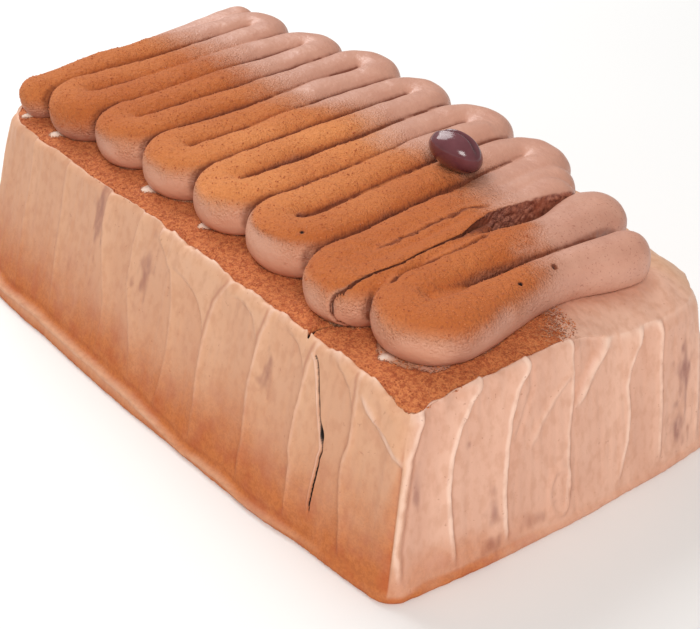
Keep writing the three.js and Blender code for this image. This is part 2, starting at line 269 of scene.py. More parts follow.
unevenStrands = dict(  # (y, x, half width, height) along the strands that are not regular
    start=((-2, -95.5, 5.6, 9.6), (12, -96.5, 6, 10.8), (26, -97.5, 6.4, 12.2), (37, -98, 6.6, 13)),
    filled=((-36, 59.8, 6, 12.9), (-25, 59.3, 6, 12.9), (-15, 58.5, 6, 12.9), (-5, 57.3, 5.9, 12.9),
            (4, 56.3, 5.9, 12.9), (12, 55.2, 6, 13), (20, 54.2, 6.2, 13.1), (28, 53.2, 6.4, 13),
            (33, 52.6, 6.7, 13), (38, 52.2, 6.9, 12.8)),  # closes the valley of the lobe that is cut
    sliver=((-33, 66.4, 7, 13.2), (-27, 66.8, 6, 13.2), (-20, 66.6, 5.4, 13.2), (-12, 66.2, 5, 13.1),
            (-5, 65.8, 4.4, 12.9), (0, 65, 3.4, 12.2), (4, 63.5, 2.4, 11)),
    dimple=((-27, 82.6, 5, 11.6), (-20, 82, 4.5, 10.5), (-12, 81.3, 3.5, 8)),
    broad=((-28, 75.3, 7.2, 13.5), (-20, 75, 7.4, 13.5), (-11, 73.2, 7.8, 13.6), (-4, 72.8, 8.2, 13.6),
           (2, 73.6, 8.4, 13.5), (7, 74.7, 8.5, 13.4), (12.5, 75.4, 8.4, 13.3), (17, 75, 8.4, 13.2),
           (21.5, 74.2, 8.5, 13.1), (28, 72.2, 8.8, 12.9), (34.5, 70.6, 9.6, 12.6)),
    last=((-28, 90.3, 7.7, 13.5), (-22, 90, 7.6, 13.4), (-12, 88.4, 6.4, 12.9), (0, 86.7, 5, 12),
          (9, 86.4, 4.8, 11.7), (16, 87.8, 5.9, 12), (22, 89.3, 6.8, 12.3), (27.5, 89.7, 6.7, 12.2)),
)
cut = dict(
    line=((66.3, -50.5), (63.6, -46.8), (65.3, -44.2), (66.9, -42), (67.4, -38), (67.7, -26), (66.6, -19),
          (66.2, -14), (65.8, -9), (65.5, -5), (64.6, -2.5), (63.2, 1), (62.1, 4), (61.5, 8), (61.6, 13),
          (61.9, 18), (62.3, 24), (63, 30), (63.6, 35), (63.8, 41), (63.8, 64)),
    gape=0.5, tear=0.4, tearRun=(-2, 9), tearGrains=((1, 1.1, 5), (1, 4, 9)),  # torn where it gapes
    sharp=(0.2, 1.2), raw=(1.3, 0.4), rawSlope=(0.9, 0.5), rawRun=(1, 8), rawFront=0.4,
)
grooves = {  # pressed lines behind the cut (-1) and before it (1)
    -1: dict(line=((58.4, -27), (58.3, -21.6), (57.7, -13.7), (57.3, -8.3), (56.4, 0), (56.2, 5), (57.5, 9)),
             ends=((-30, -22), (13, 8)), above=4, depth=0.8, width=0.3, wobble=((0.8, 1.5, 14),),
             markWidth=0.7, mark=0.75),
    1: dict(line=((74.4, -37), (72.7, -32), (71.5, -28.5), (70.9, -25), (71.1, -21), (71.5, -15),
                  (71.5, -9.5), (70.6, -4.4), (69.6, 0), (68, 3)),
            ends=((-36, -31), (3, -2)), above=8, depth=1.3, width=0.5, wobble=((0.5, 2, 15),),
            markWidth=0.9, mark=0.85),
}
creases = dict(
    reaches=(1.2, 4), close=(0.15, 0.8), wide=(0.05, 0.85), wideShare=0.6, above=(1.5, 5),
    wedgeX=((66, 69), (72, 71)), wedgeY=((-33, -29), (4, 0)), wedgeAbove=10, wedgeShare=0.8,  # kept paler
)
dust = dict(  # cocoa was sieved from the near side as far as this edge, given as y at x
    edge=((5, -98), (8, -80), (10, -70), (11, -60), (9, -40), (8, -30), (13, -20), (17, -10), (18, 0),
          (13, 10), (12, 20), (18, 30), (17, 40), (12, 50), (13, 60), (14, 70), (4, 80), (-2, 88), (-2, 106)),
    fade=(17, 11), fadeRun=(20, 75), ragged=((3.5, 10, 3), (1.5, 3, 4)), creaseSpill=9,
    slope=(-0.38, 0.88), patches=((0.25, 6, 8),), firstGain=0.35, firstLobes=(-42, -62),
    bareLobe=31, bareWidth=12, bareEnd=(-33, -38), bareSlope=(0.85, 0.4), bareShare=0.8,
    thinPlace=2, thinRun=32, thinShare=0.8, startShare=0.35, startRun=(-60, -82), uneven=((0.2, 14, 9),),
    # the flank terms darken the cocoa on flanks that do not face up: painted shade
    flankShade=0.7, flankShadeSlope=(0.92, 0.45), flankShadeRun=(-37, -27),
    paleSlope=(0.8, 0.2), paleEnd=(-30, -38), paleFrom=(-60, -30),
)


def scatter(seed):  # a repeatable value between 0 and 1
    value = math.sin(seed * 127.1 + 11.7) * 43758.5453
    return value - math.floor(value)


def strandPlace(number, y):
    share = smooth(*rope["run"], y)
    wander = rope["wander"] * np.sin(y * rope["wanderTurn"] + number * rope["wanderStep"])
    return between(rope["near"][number], rope["far"][number], share) + wander


def strandSize(number, y):  # half width and height, a little thinner at the near end of the first strand
    width = rope["leastWidth"] + rope["spread"] * scatter(number + rope["widthSeed"])
    height = rope["leastHeight"] + rope["spread"] * scatter(number + rope["heightSeed"])
    loss = rope["startTaper"] * (1 - smooth(0, rope["taperRun"], y - rope["startReach"])) * (number == 0)
    return rope["halfWidth"] * width * np.sqrt(1 - loss), rope["height"] * height * (1 - loss)


def ovalDistance(plan, z, halfWidth, height):
    centre = (height - rope["sag"]) / 2
    half = height - centre
    power = rope["fullness"]
    oval = (np.abs(plan / halfWidth) ** power + np.abs((z - centre) / half) ** power) ** (1 / power)
    return (oval - 1) * np.minimum(halfWidth, half)


def strandPart(number, nearEnd, farEnd):
    def distance(x, y, z):
        inside = np.clip(y, nearEnd, farEnd)
        plan = np.hypot(x - strandPlace(number, inside), y - inside)
        return ovalDistance(plan, z, *strandSize(number, inside))
    ends = [float(strandPlace(number, end)) for end in (nearEnd, farEnd)]
    return distance, min(ends), max(ends)


def unevenPart(places):
    ys, xs, halves, heights = (np.array(column, float) for column in zip(*places))

    def eased(values, y):  # follows the places without kinks
        return sum(np.interp(y + step, ys, values) for step in rope["easing"]) / len(rope["easing"])

    def distance(x, y, z):
        inside = np.clip(y, ys[0], ys[-1])
        plan = np.hypot(x - eased(xs, inside), y - inside)
        return ovalDistance(plan, z, eased(halves, inside), eased(heights, inside))
    return distance, xs.min(), xs.max()


def ringPart(middleX, middleY, radius, side, halfWidth, height):
    def distance(x, y, z):
        beyond = side * (y - middleY) >= 0
        onRing = np.abs(np.hypot(x - middleX, y - middleY) - radius)
        toEnds = np.hypot(np.abs(x - middleX) - radius, y - middleY)
        return ovalDistance(np.where(beyond, onRing, toEnds), z, halfWidth, height)
    return distance, middleX - radius, middleX + radius


def turnPart(first, reach, side):
    radius = (strandPlace(first + 1, reach) - strandPlace(first, reach)) / 2
    middleY = reach - side * radius
    middleX = (strandPlace(first, middleY) + strandPlace(first + 1, middleY)) / 2
    sizes = np.mean([strandSize(number, middleY) for number in (first, first + 1)], 0)
    return ringPart(middleX, middleY, radius, side, *sizes), middleY


def mainRope():
    last = len(rope["near"]) - 1
    nearEnds, farEnds = {0: rope["startReach"]}, {last: rope["tornReach"]}
    parts = []
    for first in range(last):
        ends, reaches, side = ((farEnds, rope["farReach"], 1), (nearEnds, rope["nearReach"], -1))[first % 2]
        part, middleY = turnPart(first, reaches[first // 2], side)
        parts.append(part)
        ends[first] = ends[first + 1] = middleY
    for number in range(last + 1):
        parts.append(strandPart(number, nearEnds[number], farEnds[number]))
    return parts + [unevenPart(unevenStrands[name]) for name in ("start", "filled")]


def endRope():
    last = len(rope["near"]) - 1
    nearY, broadX, broadHalf, height = unevenStrands["broad"][0]
    lastX, lastHalf = unevenStrands["last"][0][1:3]
    lobe = ringPart((broadX + lastX) / 2, nearY, (lastX - broadX) / 2, -1, (broadHalf + lastHalf) / 2, height)
    strips = [unevenPart(unevenStrands[name]) for name in ("sliver", "broad", "last", "dimple")]
    return [turnPart(last - 1, rope["nearReach"][-1], -1)[0], lobe] + strips


mainParts = mainRope()
endParts = endRope()


def ropeField(parts, x, y, z):
    reach = rope["halfWidth"] + rope["fieldReach"]
    field = np.full(np.broadcast(x, y, z).shape, rope["farAway"])
    for distance, low, high in parts:
        if low - reach > np.max(x) or high + reach < np.min(x):
            continue
        other = distance(x, y, z)
        share = np.maximum(rope["crease"] - np.abs(field - other), 0) / rope["crease"]
        field = np.minimum(field, other) - share * share * rope["crease"] / 4
    return field


def cutPlace(side, y):
    return lineAt(cut["line"], y) + (0 if side < 0 else cut["gape"])


def grooveShape(side, x, y, z, width, wobble=0):  # 1 in the groove on this side of the cut, 0 beside it
    groove = grooves[side]
    shown = within(groove["ends"], y) * (z > groove["above"])
    return bell(x - lineAt(groove["line"], y) - wobble, width) * shown


def pitShape(x, y, z):
    return spotted(rope["pits"], x, y) * (z > rope["pitAbove"])


def partedField(parts, side, x, y, z):
    field = ropeField(parts, x, y, z)
    torn = smooth(*cut["tearRun"], y) * cut["tear"] * layered(0 * x, y, z, cut["tearGrains"])
    wall = (x - cutPlace(side, y) + torn) if side < 0 else (cutPlace(side, y) - x)
    field = np.maximum(field, wall)
    groove = grooves[side]
    wobble = layered(0 * x, y, 0 * z, groove["wobble"])
    field = field + groove["depth"] * grooveShape(side, x, y, z, groove["width"], wobble)
    return np.maximum(field + rope["pitDepth"] * pitShape(x, y, z), -z)


def dustEdge(x, y, spill, soft=0):  # 1 where cocoa was sieved, 0 beyond its edge
    edge = lineAt(dust["edge"], x) + spill
    fade = between(*dust["fade"], smooth(*dust["fadeRun"], x)) + soft
    return smooth(1, -1, (y - edge + layered(x, y, 0 * x, dust["ragged"])) / fade)


def ropeCreases(parts, points, normal):  # how far the rope closes in round each point
    close, wide = (1 - ropeField(parts, *(points + reach * normal).T) / reach for reach in creases["reaches"])
    crease = smooth(*creases["close"], close) + creases["wideShare"] * smooth(*creases["wide"], wide)
    return np.clip(crease, 0, 1) * smooth(*creases["above"], points[:, 2])


def pressedCreases(side, x, y, z, crease):
    if side > 0:
        wedge = within(creases["wedgeX"], x) * within(creases["wedgeY"], y) * (z > creases["wedgeAbove"])
        crease = crease * (1 - creases["wedgeShare"] * wedge)
    # the pressed grooves join the creases, which are painted darker as shade
    return np.maximum(crease, grooves[side]["mark"] * grooveShape(side, x, y, z, grooves[side]["markWidth"]))


def ropeCocoa(x, y, z, slope, crease):
    covered = dust["firstGain"] * smooth(*dust["firstLobes"], x)  # the first lobes are dusted further down
    facing = smooth(*dust["slope"], slope + covered + layered(x, y, z, dust["patches"]))
    bare = bell(x - dust["bareLobe"], dust["bareWidth"]) * smooth(*dust["bareEnd"], y)
    bare = bare * smooth(*dust["bareSlope"], slope)
    return dustEdge(x, y, dust["creaseSpill"] * crease) * facing * (1 - dust["bareShare"] * bare)


def cocoaThicknessAndFlankShade(x, y, z, slope):
    thin = dust["thinShare"] * bell(x - dust["thinPlace"], dust["thinRun"])
    thin = thin + dust["startShare"] * smooth(*dust["startRun"], x)
    # flanks that do not face up are darkened as painted shade, on top of the thickness of the cocoa
    flank = dust["flankShade"] * smooth(*dust["flankShadeSlope"], slope) * smooth(*dust["flankShadeRun"], y)
    return 1 - thin + layered(x, y, z, dust["uneven"]) + flank


def ropeMesh(parts, side, lowX, highX):
    step = rope["grid"]
    low = np.array((lowX, rope["fieldY"][0], -2 * step))
    high = (highX, rope["fieldY"][1], rope["fieldTop"])
    axes = [np.arange(start, stop, step) for start, stop in zip(low, high)]
    slabs = []
    for xs in np.array_split(axes[0], rope["slabs"]):
        slabs.append(partedField(parts, side, *np.meshgrid(xs, axes[1], axes[2], indexing="ij")))
    points, quads = surfaceNet(np.concatenate(slabs), low, step)
    wall = np.abs(points[:, 0] - cutPlace(side, points[:, 1]))
    eased = relax(points, quads, *rope["relaxing"])
    points = between(points, eased, smooth(*cut["sharp"], wall)[:, None])  # the cut keeps its sharp edge
    normal = pointNormals(points, quads)
    x, y, z = points.T
    slope = normal[:, 2]
    crease = ropeCreases(parts, points, normal)
    cocoa = ropeCocoa(x, y, z, slope, crease)
    crease = pressedCreases(side, x, y, z, crease)
    torn = smooth(*cut["raw"], wall) * smooth(*cut["rawSlope"], slope)
    torn = torn * (smooth(*cut["rawRun"], y) if side < 0 else cut["rawFront"])
    pores = smooth(*rope["poresX"], x) * smooth(*rope["poresY"], y) * (1 - cocoa)
    face = smooth(*dust["paleSlope"], slope) * smooth(*dust["paleEnd"], y) * smooth(*dust["paleFrom"], x)
    marks = dict(cocoa=cocoa, torn=torn, pores=pores, crease=crease, thickAndFlankShade=cocoaThicknessAndFlankShade(x, y, z, slope),
                 pitShade=pitShape(x, y, z), face=face)
    fine = (rope["dustLumps"] * cocoa + rope["creaseLumps"] * crease) * layered(x, y, z, rope["fineLumps"])
    lumps = (layered(x, y, z, rope["lumps"]) + fine) * smooth(*rope["lumpsFrom"], z)
    points = points + normal * (lumps * smooth(*rope["lumpsBeside"], wall))[:, None]
    points[:, 2] += rope["seat"]
    return points, quads, marks


creamTones = dict(
    bareDark=(192, 134, 112), barePale=(211, 158, 135), pore=(156, 92, 74), lobeEnd=(236, 172, 136),
    # the darker cocoa tone stands for thick cocoa and for painted shade on the flanks
    cocoaThin=(225, 142, 82), cocoaThickAndShaded=(187, 97, 42), cocoaWarm=(218, 134, 70), speck=(176, 92, 48),
    # crease is painted shade in the creases between strands and in the pressed grooves, with some cocoa
    # gathered there
    crease=(116, 52, 26), tornDark=(118, 62, 48), tornPale=(176, 112, 90), tornWarm=(150, 78, 54),
    # painted shade inside the pits
    pitShade=(34, 16, 12),
)
creamGrain = dict(fine=0.55, clumps=1.6, bare=6, pore=0.6, warm=7, torn=1.0, tornWarm=5, soft=1.8,
                  relief=0.75)  # mm
creamMix = dict(  # shares of the tones, and the limits between which each comes in
    dusting=(0.02, 0.95), dustGrain=0.5, pore=0.65, poreIn=(0.6, 0.72), warm=0.3,
    speck=(0.2, 0.55), speckClumps=0.4, speckIn=(0.4, 0.7), lobeEnd=0.35,
    crease=0.9, creaseShadeGrain=0.35, creaseShadeIn=(0.1, 0.95), crumbsIn=(0.3, 0.7), tornWarm=0.6, tornIn=(0.4, 0.65),
    pitShadeIn=(0.25, 0.6), fineRelief=0.6, softRelief=0.3, roughness=(0.42, 0.92),
)


def creamFinish():
    finish = Finish("cocoaDustedCream")
    tones = {name: tone(*parts) for name, parts in creamTones.items()}
    fine = finish.speckle(creamGrain["fine"])
    clumps = finish.speckle(creamGrain["clumps"])
    dusting = finish.ramp(finish.mark("cocoa") + creamMix["dustGrain"] * (fine - 0.5), *creamMix["dusting"])
    bare = finish.blend(finish.speckle(creamGrain["bare"]), tones["bareDark"], tones["barePale"])
    pore = finish.ramp(finish.speckle(creamGrain["pore"]), *creamMix["poreIn"]) * finish.mark("pores")
    bare = finish.blend(creamMix["pore"] * pore, bare, tones["pore"])
    # darker where the cocoa is thick and, as painted shade, on the flanks
    cocoa = finish.blend(finish.mark("thickAndFlankShade"), tones["cocoaThin"], tones["cocoaThickAndShaded"])
    cocoa = finish.blend(creamMix["warm"] * finish.speckle(creamGrain["warm"]), cocoa, tones["cocoaWarm"])
    specks = finish.ramp(fine + creamMix["speckClumps"] * (clumps - 0.5), *creamMix["speckIn"])
    cocoa = finish.blend(between(*creamMix["speck"], finish.mark("thickAndFlankShade")) * specks, cocoa, tones["speck"])
    coat = finish.blend(dusting, bare, cocoa)
    coat = finish.blend(creamMix["lobeEnd"] * finish.mark("face"), coat, tones["lobeEnd"])
    # painted shade: the creases and pressed grooves darken towards deep brown
    ragged = finish.mark("crease") + creamMix["creaseShadeGrain"] * (clumps - 0.5)
    crease = finish.ramp(ragged, *creamMix["creaseShadeIn"])
    coat = finish.blend(creamMix["crease"] * crease, coat, tones["crease"])
    crumbs = finish.ramp(finish.speckle(creamGrain["torn"], 3), *creamMix["crumbsIn"])
    torn = finish.blend(crumbs, tones["tornDark"], tones["tornPale"])
    warmer = finish.ramp(finish.speckle(creamGrain["tornWarm"]), *creamMix["tornIn"])
    torn = finish.blend(creamMix["tornWarm"] * warmer, torn, tones["tornWarm"])
    colour = finish.blend(finish.mark("torn"), coat, torn)
    # painted shade: the pits are coloured nearly black
    colour = finish.blend(finish.ramp(finish.mark("pitShade"), *creamMix["pitShadeIn"]), colour, tones["pitShade"])
    height = dusting * (creamMix["fineRelief"] * fine + clumps)
    height = height + creamMix["softRelief"] * finish.speckle(creamGrain["soft"])
    normal = finish.relief(height, creamGrain["relief"])
    roughness = between(*creamMix["roughness"], dusting)
    return finish.surface(Base_Color=colour, Roughness=roughness, Normal=normal)


cream = creamFinish()
mainPoints, mainQuads, mainMarks = ropeMesh(mainParts, -1, *rope["mainX"])
makePiece("pipedRope", mainPoints, mainQuads.tolist(), cream, mainMarks, "piped_rope")
endPoints, endQuads, endMarks = ropeMesh(endParts, 1, *rope["endX"])
makePiece("pipedRopeEnd", endPoints, endQuads.tolist(), cream, endMarks, "piped_rope_end")


# Frosted loaf: tapered body with spread strokes, a foot of cream, a lip and a cocoa-dusted ledge

loaf = dict(
    baseLength=218, baseWidth=130, topLength=208, topNear=52.5, topFar=53.5, height=50,
    longBow=(2.7, 0.00037, -30), endBow=(1.5, 0.00095, -5),  # rise, curve and middle of the swollen base
    baseCorners=(18, 6, 16, 16), topCorners=(26, 5, 20, 24), leastRadius=2, cornerMeet=6,
    columnGap=(0.4, 0.4, 1.0, 1.0), fineGap=0.12, fineSpan=(60.5, 80),  # near, front, far, back
    footRows=9, footGap=0.45, rowGap=0.48, edgeRound=1.6, edgeRows=5,
    ledgeStart=4.4, ledgeRun=26, ledgeGap=0.6, innerInsets=(28, 32, 40),
    wave=((0.5, 14, 59), (0.2, 2.6, 60)), waveFrom=(42, 50), waveInset=(5, 2),  # uneven edge of the top
    # the long sides are painted warmer and darker than the ends, as shade
    shadedLongSides=(0.3, 0.95),
)
lows = dict(
    cornerDip=3.2, dipReach=8, dipPlace=(104, -52.5), dipFrom=(40, 50),
    shoulderDrop=8.2, shoulderReach=15, shoulderFrom=(15, 50),  # low round shoulder at the far front corner
    shoulderSpans=(((80, 100), (-8, 18)), ((52, 86), (20, 45))),  # x and y on the front and the far side
)
lip = dict(
    rise=(1.3, 0.3, 0.3, 0.2), insets=(2.0, 2.5, 3.1, 3.8), shape=(0.6, 0.25, 0.06, 0), power=3,
    rag=((0.6, 6, 53),), fineRag=((0.3, 1.6, 54),), ragRange=(0.1, 2),
    # crest is the share of painted highlight along the lip
    least=0.2, ends=((-40, 10), (104, 90)), crest=0.5,
)
spread = dict(
    # the strokes carry a painted highlight on their raised edges, and painted shade in their hollows and just
    # past each edge
    start=(3, 10), startRelief=0.5, step=1.2, crest=0.3, crestWidth=1.0, dish=0.5, curve=1.4,
    depth=0.95, level=0.8,
    wobble=((0.4, 6, 11),), fineWobble=((0.15, 1.4, 12),), highlightShift=0.4, shadeShift=0.75, lineWidth=0.6,
    archEdge=(-0.8, 0.8), archLevel=1.0, archHighlight=0.4, archShift=0.6, archWidth=0.7,
    swipeStart=2, swipeEnd=1.5, swipeHighlight=(2.2, 1),  # on the long sides, on the ends
    sway=((0.5, (15, 22, 1), 51),), streaks=((0.1, (1.3, 15, 1), 52),), overEdge=(2.6, 0.6),
    roll=0.7, rollInset=((0, 2.4), (7, 2.4)), rollRun=(4, -8),  # strokes of the front run over its edge
    highlightInset=(3.2, 0.8), highlightShare=(0.5, 1), hollow=0.35, hollowShadeRelief=(0.7, -0.5), hollowShadeInset=(1.6, 0.4),
)
nearStrokes = (  # raised edge as (place, height), its rise, and the rounded top as heights and peak
    (((-112, 8), (-112, 46)), 0.4, None),
    (((-88, 8), (-91, 46)), 0.4, None),
    (((-68, 8), (-71, 46)), 0.45, None),
    (((-47, 8), (-49, 25), (-51, 46)), 0.5, None),
    (((-19.5, 8), (-19, 17), (-20, 22), (-23, 29), (-26, 35), (-27.5, 42), (-27, 50)), 0.7, None),
    (((-2, 10), (-4, 17), (-7, 24), (-11, 32), (-12, 42), (-11, 50)), 0.6, None),
    (((12, 8), (13, 20), (12.5, 26), (11.5, 32), (10, 38), (8, 43), (4, 46), (0, 49)), 0.8,
     (43, 44, 0.1, 25)),
    (((29.5, 8), (29, 15), (28, 23), (27, 32), (27.2, 38), (28, 43), (30.5, 47), (33, 50)), 1.1,
     (40, 48, 0.4, 36)),
    (((50.5, 10), (50, 18), (49, 24), (48, 30), (48.2, 37), (49, 44), (50.5, 48)), 1.2, (45, 49, 0.3, 37)),
    (((69.5, 10), (69, 19), (67.5, 23), (67, 32), (67.2, 40), (68, 46), (69, 50)), 1.1, (46, 49.5, 0.35, 36)),
    (((89.5, 8), (89, 12), (87, 19), (85.6, 28), (86.5, 34), (86.2, 41), (86, 46), (85, 50)), 1.1,
     (41, 43.5, 0.2, 31)),
    (((109, 8), (106.5, 20), (105, 30), (104, 38), (104, 44), (105, 50)), 0.9, None),
)
frontStrokes = (  # the same on the front, where the strokes lean on each other the other way
    (((-56, 5), (-56, 15), (-54.5, 24), (-53.5, 30), (-52.5, 38), (-50.5, 43), (-48, 48),
      (-45, 51)), 0.9, None),
    (((-40.5, 4), (-41.5, 16), (-41.8, 27), (-41, 35), (-38.8, 41), (-34.7, 47), (-31.3, 50)), 1.3, None),
    (((-24.7, 3), (-25.5, 10), (-25.7, 19), (-25, 28.7), (-23.8, 38), (-21.3, 45), (-17, 49.5)), 1.3, None),
    (((-6, 4), (-5, 12), (-5, 19), (-4.7, 27), (-3.4, 35), (-2.6, 44.5), (-2, 50)), 0.8, None),
    (((12.4, 3.7), (14, 11), (15.3, 16), (16.3, 24.5), (16.2, 31), (17.8, 36), (20.3, 40), (22.8, 44.5),
      (25, 50)), 0.95, None),
    (((28, 4), (28, 20), (28.2, 30), (28.3, 44), (30, 50)), 0.8, None),
    (((43, 5), (43.5, 25), (46, 45)), 0.6, None),
    (((60, 5), (58, 25), (54, 45)), 0.5, None),
)
nearSwipes = ((((104, 36), (96, 41.5), (88.5, 47)), 0.9, 2.0),)  # slanting strokes: line, rise and width
frontSwipes = (
    (((-16.3, 27.8), (-13.8, 32.4), (-9.7, 37.4), (-3.4, 42)), 0.5, 1.3),
    (((-1.3, 32), (5.3, 39.5), (11.2, 44.5), (15.3, 46.6)), 0.8, 1.7),
    (((-21, 31), (-19, 36), (-16.3, 42), (-15.5, 49)), -0.4, 0.8),
)
scoop = dict(level=((31, 36), (49, 45)), start=(-3, -1), besideSwipe=(1, -3), depth=0.9)  # on the front
dents = dict(ovals=((-38, 48.4, 2.6, 1.8), (-44, 49, 1.6, 1.4)), depth=1.2, inset=1.5)
curl = dict(oval=(-8, 11.5, 3.4, 6.5), rise=0.6, width=0.2)
sideSlit = dict(
    line=((76.2, 8), (76.8, 13), (77, 21), (77.5, 27), (76.5, 31), (74.7, 35), (73.2, 40), (70.6, 47),
          (68.6, 50)),
    # mark sets how strongly the slit is painted dark as shade
    depth=3.2, width=0.2, wobble=((0.25, 2.5, 57),), start=(9, 12), end=(48.8, 47), inset=1, mark=(0.04, 0.3),
    # the raised edge beside the slit gets a painted highlight
    gape=1.2, gapeLevel=30.5, gapeRun=1.6, edge=0.3, edgeShift=0.6, edgeWidth=0.3, edgeHighlight=2,
)
ledgeCrack = dict(
    line=((66.6, -53), (64.3, -50.6), (62.9, -48.5), (62.7, -46.5), (63.4, -44.5), (64.6, -42), (66, -39)),
    depth=2.2, width=0.42, wobble=((0.25, 2, 58),), end=(-39, -41), inset=0.8,
)
smudges = (  # side, place, height, half width, half height, strength
    (0, -30.2, 43, 2.6, 8, 0.75), (0, -3.6, 38, 2.2, 5, 0.75), (0, -8.8, 32.5, 0.9, 1.6, 0.6),
    (0, 54, 35.5, 1.6, 3.6, 0.75), (0, -42, 24, 1.2, 3, 0.35), (1, -50.5, 29, 1, 5, 0.55),
    (1, -29, 14.5, 1.5, 4, 0.6), (1, -30.5, 5.5, 3.5, 2.6, 0.75), (1, -16.5, 6.5, 3.6, 2.4, 0.55),
    (1, 37.8, 26, 2.4, 6, 0.8), (1, 35.8, 10.5, 2.4, 5.5, 0.9), (1, -35, 35, 0.6, 1.2, 0.5),
    (2, 40, 30, 2.5, 6, 0.6), (2, -35, 16, 2, 5, 0.6), (3, 10, 22, 2, 6, 0.6), (3, -28, 34, 2, 4, 0.5),
)
sideCocoa = dict(
    levels=((1, 5), (0.97, 7.5), (0.86, 10.5), (0.73, 14), (0.55, 18), (0.36, 23), (0.22, 29), (0.14, 36),
            (0.12, 46)),  # share of cocoa at each height of the long sides, rising towards the base, where it also stands for painted shade
    uneven=((1.6, (4, 18, 1), 21), (1.8, 8, 22), (2.4, (22, 12, 1), 23)), blotch=((1, 8, 22),),
    longBlotch=0.05, endRun=(0, -40), endShare=(0.04, 0.5), endLevel=(14, 4), endBlotch=0.03,
    rim=0.75, rimGain=0.35, rimLevel=(5, 2), rimBlotch=1.8, rimShare=(0.2, 1.3),
    cornerPlace=(107, 104), cornerLean=(8, 30), cornerWidth=(15, 1.4), cornerNarrows=(6, 38), cornerSoft=1.6,
    cornerPast=(3, -1.5), cornerTop=(46, 36), cornerShare=(1, 0.65), cornerFade=(10, 24),
    cornerLeast=0.85, cornerBlotch=0.3, smudgeRag=((0.6, (1.2, 3, 1), 24),), smudgeEdge=(1.5, 0.1),
    aroundCorner=(0.4, 0.95), nearFront=(50, 90),  # it fades round every corner but the near one at the front
)
foot = dict(
    round=1.2, bulge=1.0, wideRun=(30, 0), longRun=(88, 60), height=(2.5, 4.7), uneven=((0.6, 9, 31),),
    least=0.6, longShare=0.4, wideShare=0.5, edge=(0.5, -0.5), ridge=0.45, ridgeShift=0.5, ridgeWidth=0.45,
    groove=0.4, grooveShift=1.2, grooveWidth=0.8, band=(0.15, 1), bandEdge=(0.6, -0.2),
    # towards the very base the foot darkens: cocoa, and painted shade where it meets the floor
    cocoa=(0.5, 0.95), cocoaAndShadeLevel=(3.4, 0.6), ridgeBare=0.5, ridgeHighlight=1.1,
)
ledge = dict(
    ropeLevel=4.5, rag=((0.5, 1.8, 41), (0.5, 6, 42)), beside=(14, 6), besideRag=2,
    nearStrip=-44,  # only on this strip does the cocoa reach far from the rope
    rim=2.2, rimX=(72, 80), rimY=(-31, -38),  # the last lobe keeps a strip of cream nearly bare
    spill=1, soften=9, softenRun=(70, 92), edge=(0.8, 2.4), clear=(-3, -1.2), clearRag=0.6, underRope=0.36,
    rough=((0.1, 1.0, 55), (0.25, 5, 56)), roughInset=(0.5, 3),
    shade=0.75, shadeReach=(4, -1), shadeRun=(70, 78),  # shade under the last lobe
)
paleSpots = dict(
    spots=((-86.8, -46, 1.8), (-70.2, -45.4, 2.1), (-22.8, -42, 2.4), (4.3, -41.2, 1.8), (82.8, -42.5, 1.7)),
    rise=0.9, clear=1.3,
)


def loafCorner(number, height, inset):
    radius = between(loaf["baseCorners"][number], loaf["topCorners"][number], height)
    radius = np.maximum(radius - inset, loaf["leastRadius"])
    halfLength = between(loaf["baseLength"], loaf["topLength"], height) / 2 - inset
    flank = loaf["topNear"] if number < 2 else loaf["topFar"]
    halfWidth = between(loaf["baseWidth"] / 2, flank, height) - inset
    x = (halfLength - radius) * (1 if number in (1, 2) else -1)
    y = (halfWidth - radius) * (-1 if number < 2 else 1)
    return x, y, radius


def swell(bow, place, half, height):
    rise, curve, middle = loaf[bow]
    return 1 + (1 - height) * (rise - curve * (place - middle) ** 2) / half


def loafSide(side, along, height, inset):
    fromX, fromY, fromRadius = loafCorner(side, height, inset)
    toX, toY, toRadius = loafCorner((side + 1) % 4, height, inset)
    facing = math.pi * (side / 2 - 0.5)
    across, up = math.cos(facing), math.sin(facing)
    straight = np.hypot(toX + toRadius * across - fromX - fromRadius * across,
                        toY + toRadius * up - fromY - fromRadius * up)
    lead, tail = fromRadius * math.pi / 4, toRadius * math.pi / 4
    run = along * (lead + straight + tail) - lead
    slide = np.clip(run, 0, straight)
    angle = facing + np.minimum(run, 0) / fromRadius + np.maximum(run - straight, 0) / toRadius
    onTail = run > straight
    reach = np.where(onTail, toRadius, fromRadius)
    x = np.where(onTail, toX, fromX - slide * up) + np.cos(angle) * reach
    y = np.where(onTail, toY, fromY + slide * across) + np.sin(angle) * reach
    wideX = x * swell("endBow", y, loaf["baseLength"] / 2, height)
    wideY = y * swell("longBow", x, loaf["baseWidth"] / 2, height)
    return wideX, wideY, np.cos(angle), np.sin(angle)


def loafColumns(side):  # shares of the way along a side, closer together beside the cut
    length = (loaf["topLength"], loaf["topNear"] + loaf["topFar"])[side % 2]
    low, high = loaf["fineSpan"]
    places = [0.0]
    while places[-1] < length:
        fine = side == 0 and low < places[-1] - length / 2 < high
        places.append(places[-1] + (loaf["fineGap"] if fine else loaf["columnGap"][side]))
    return np.array(places[:-1])[None, :] / length, length


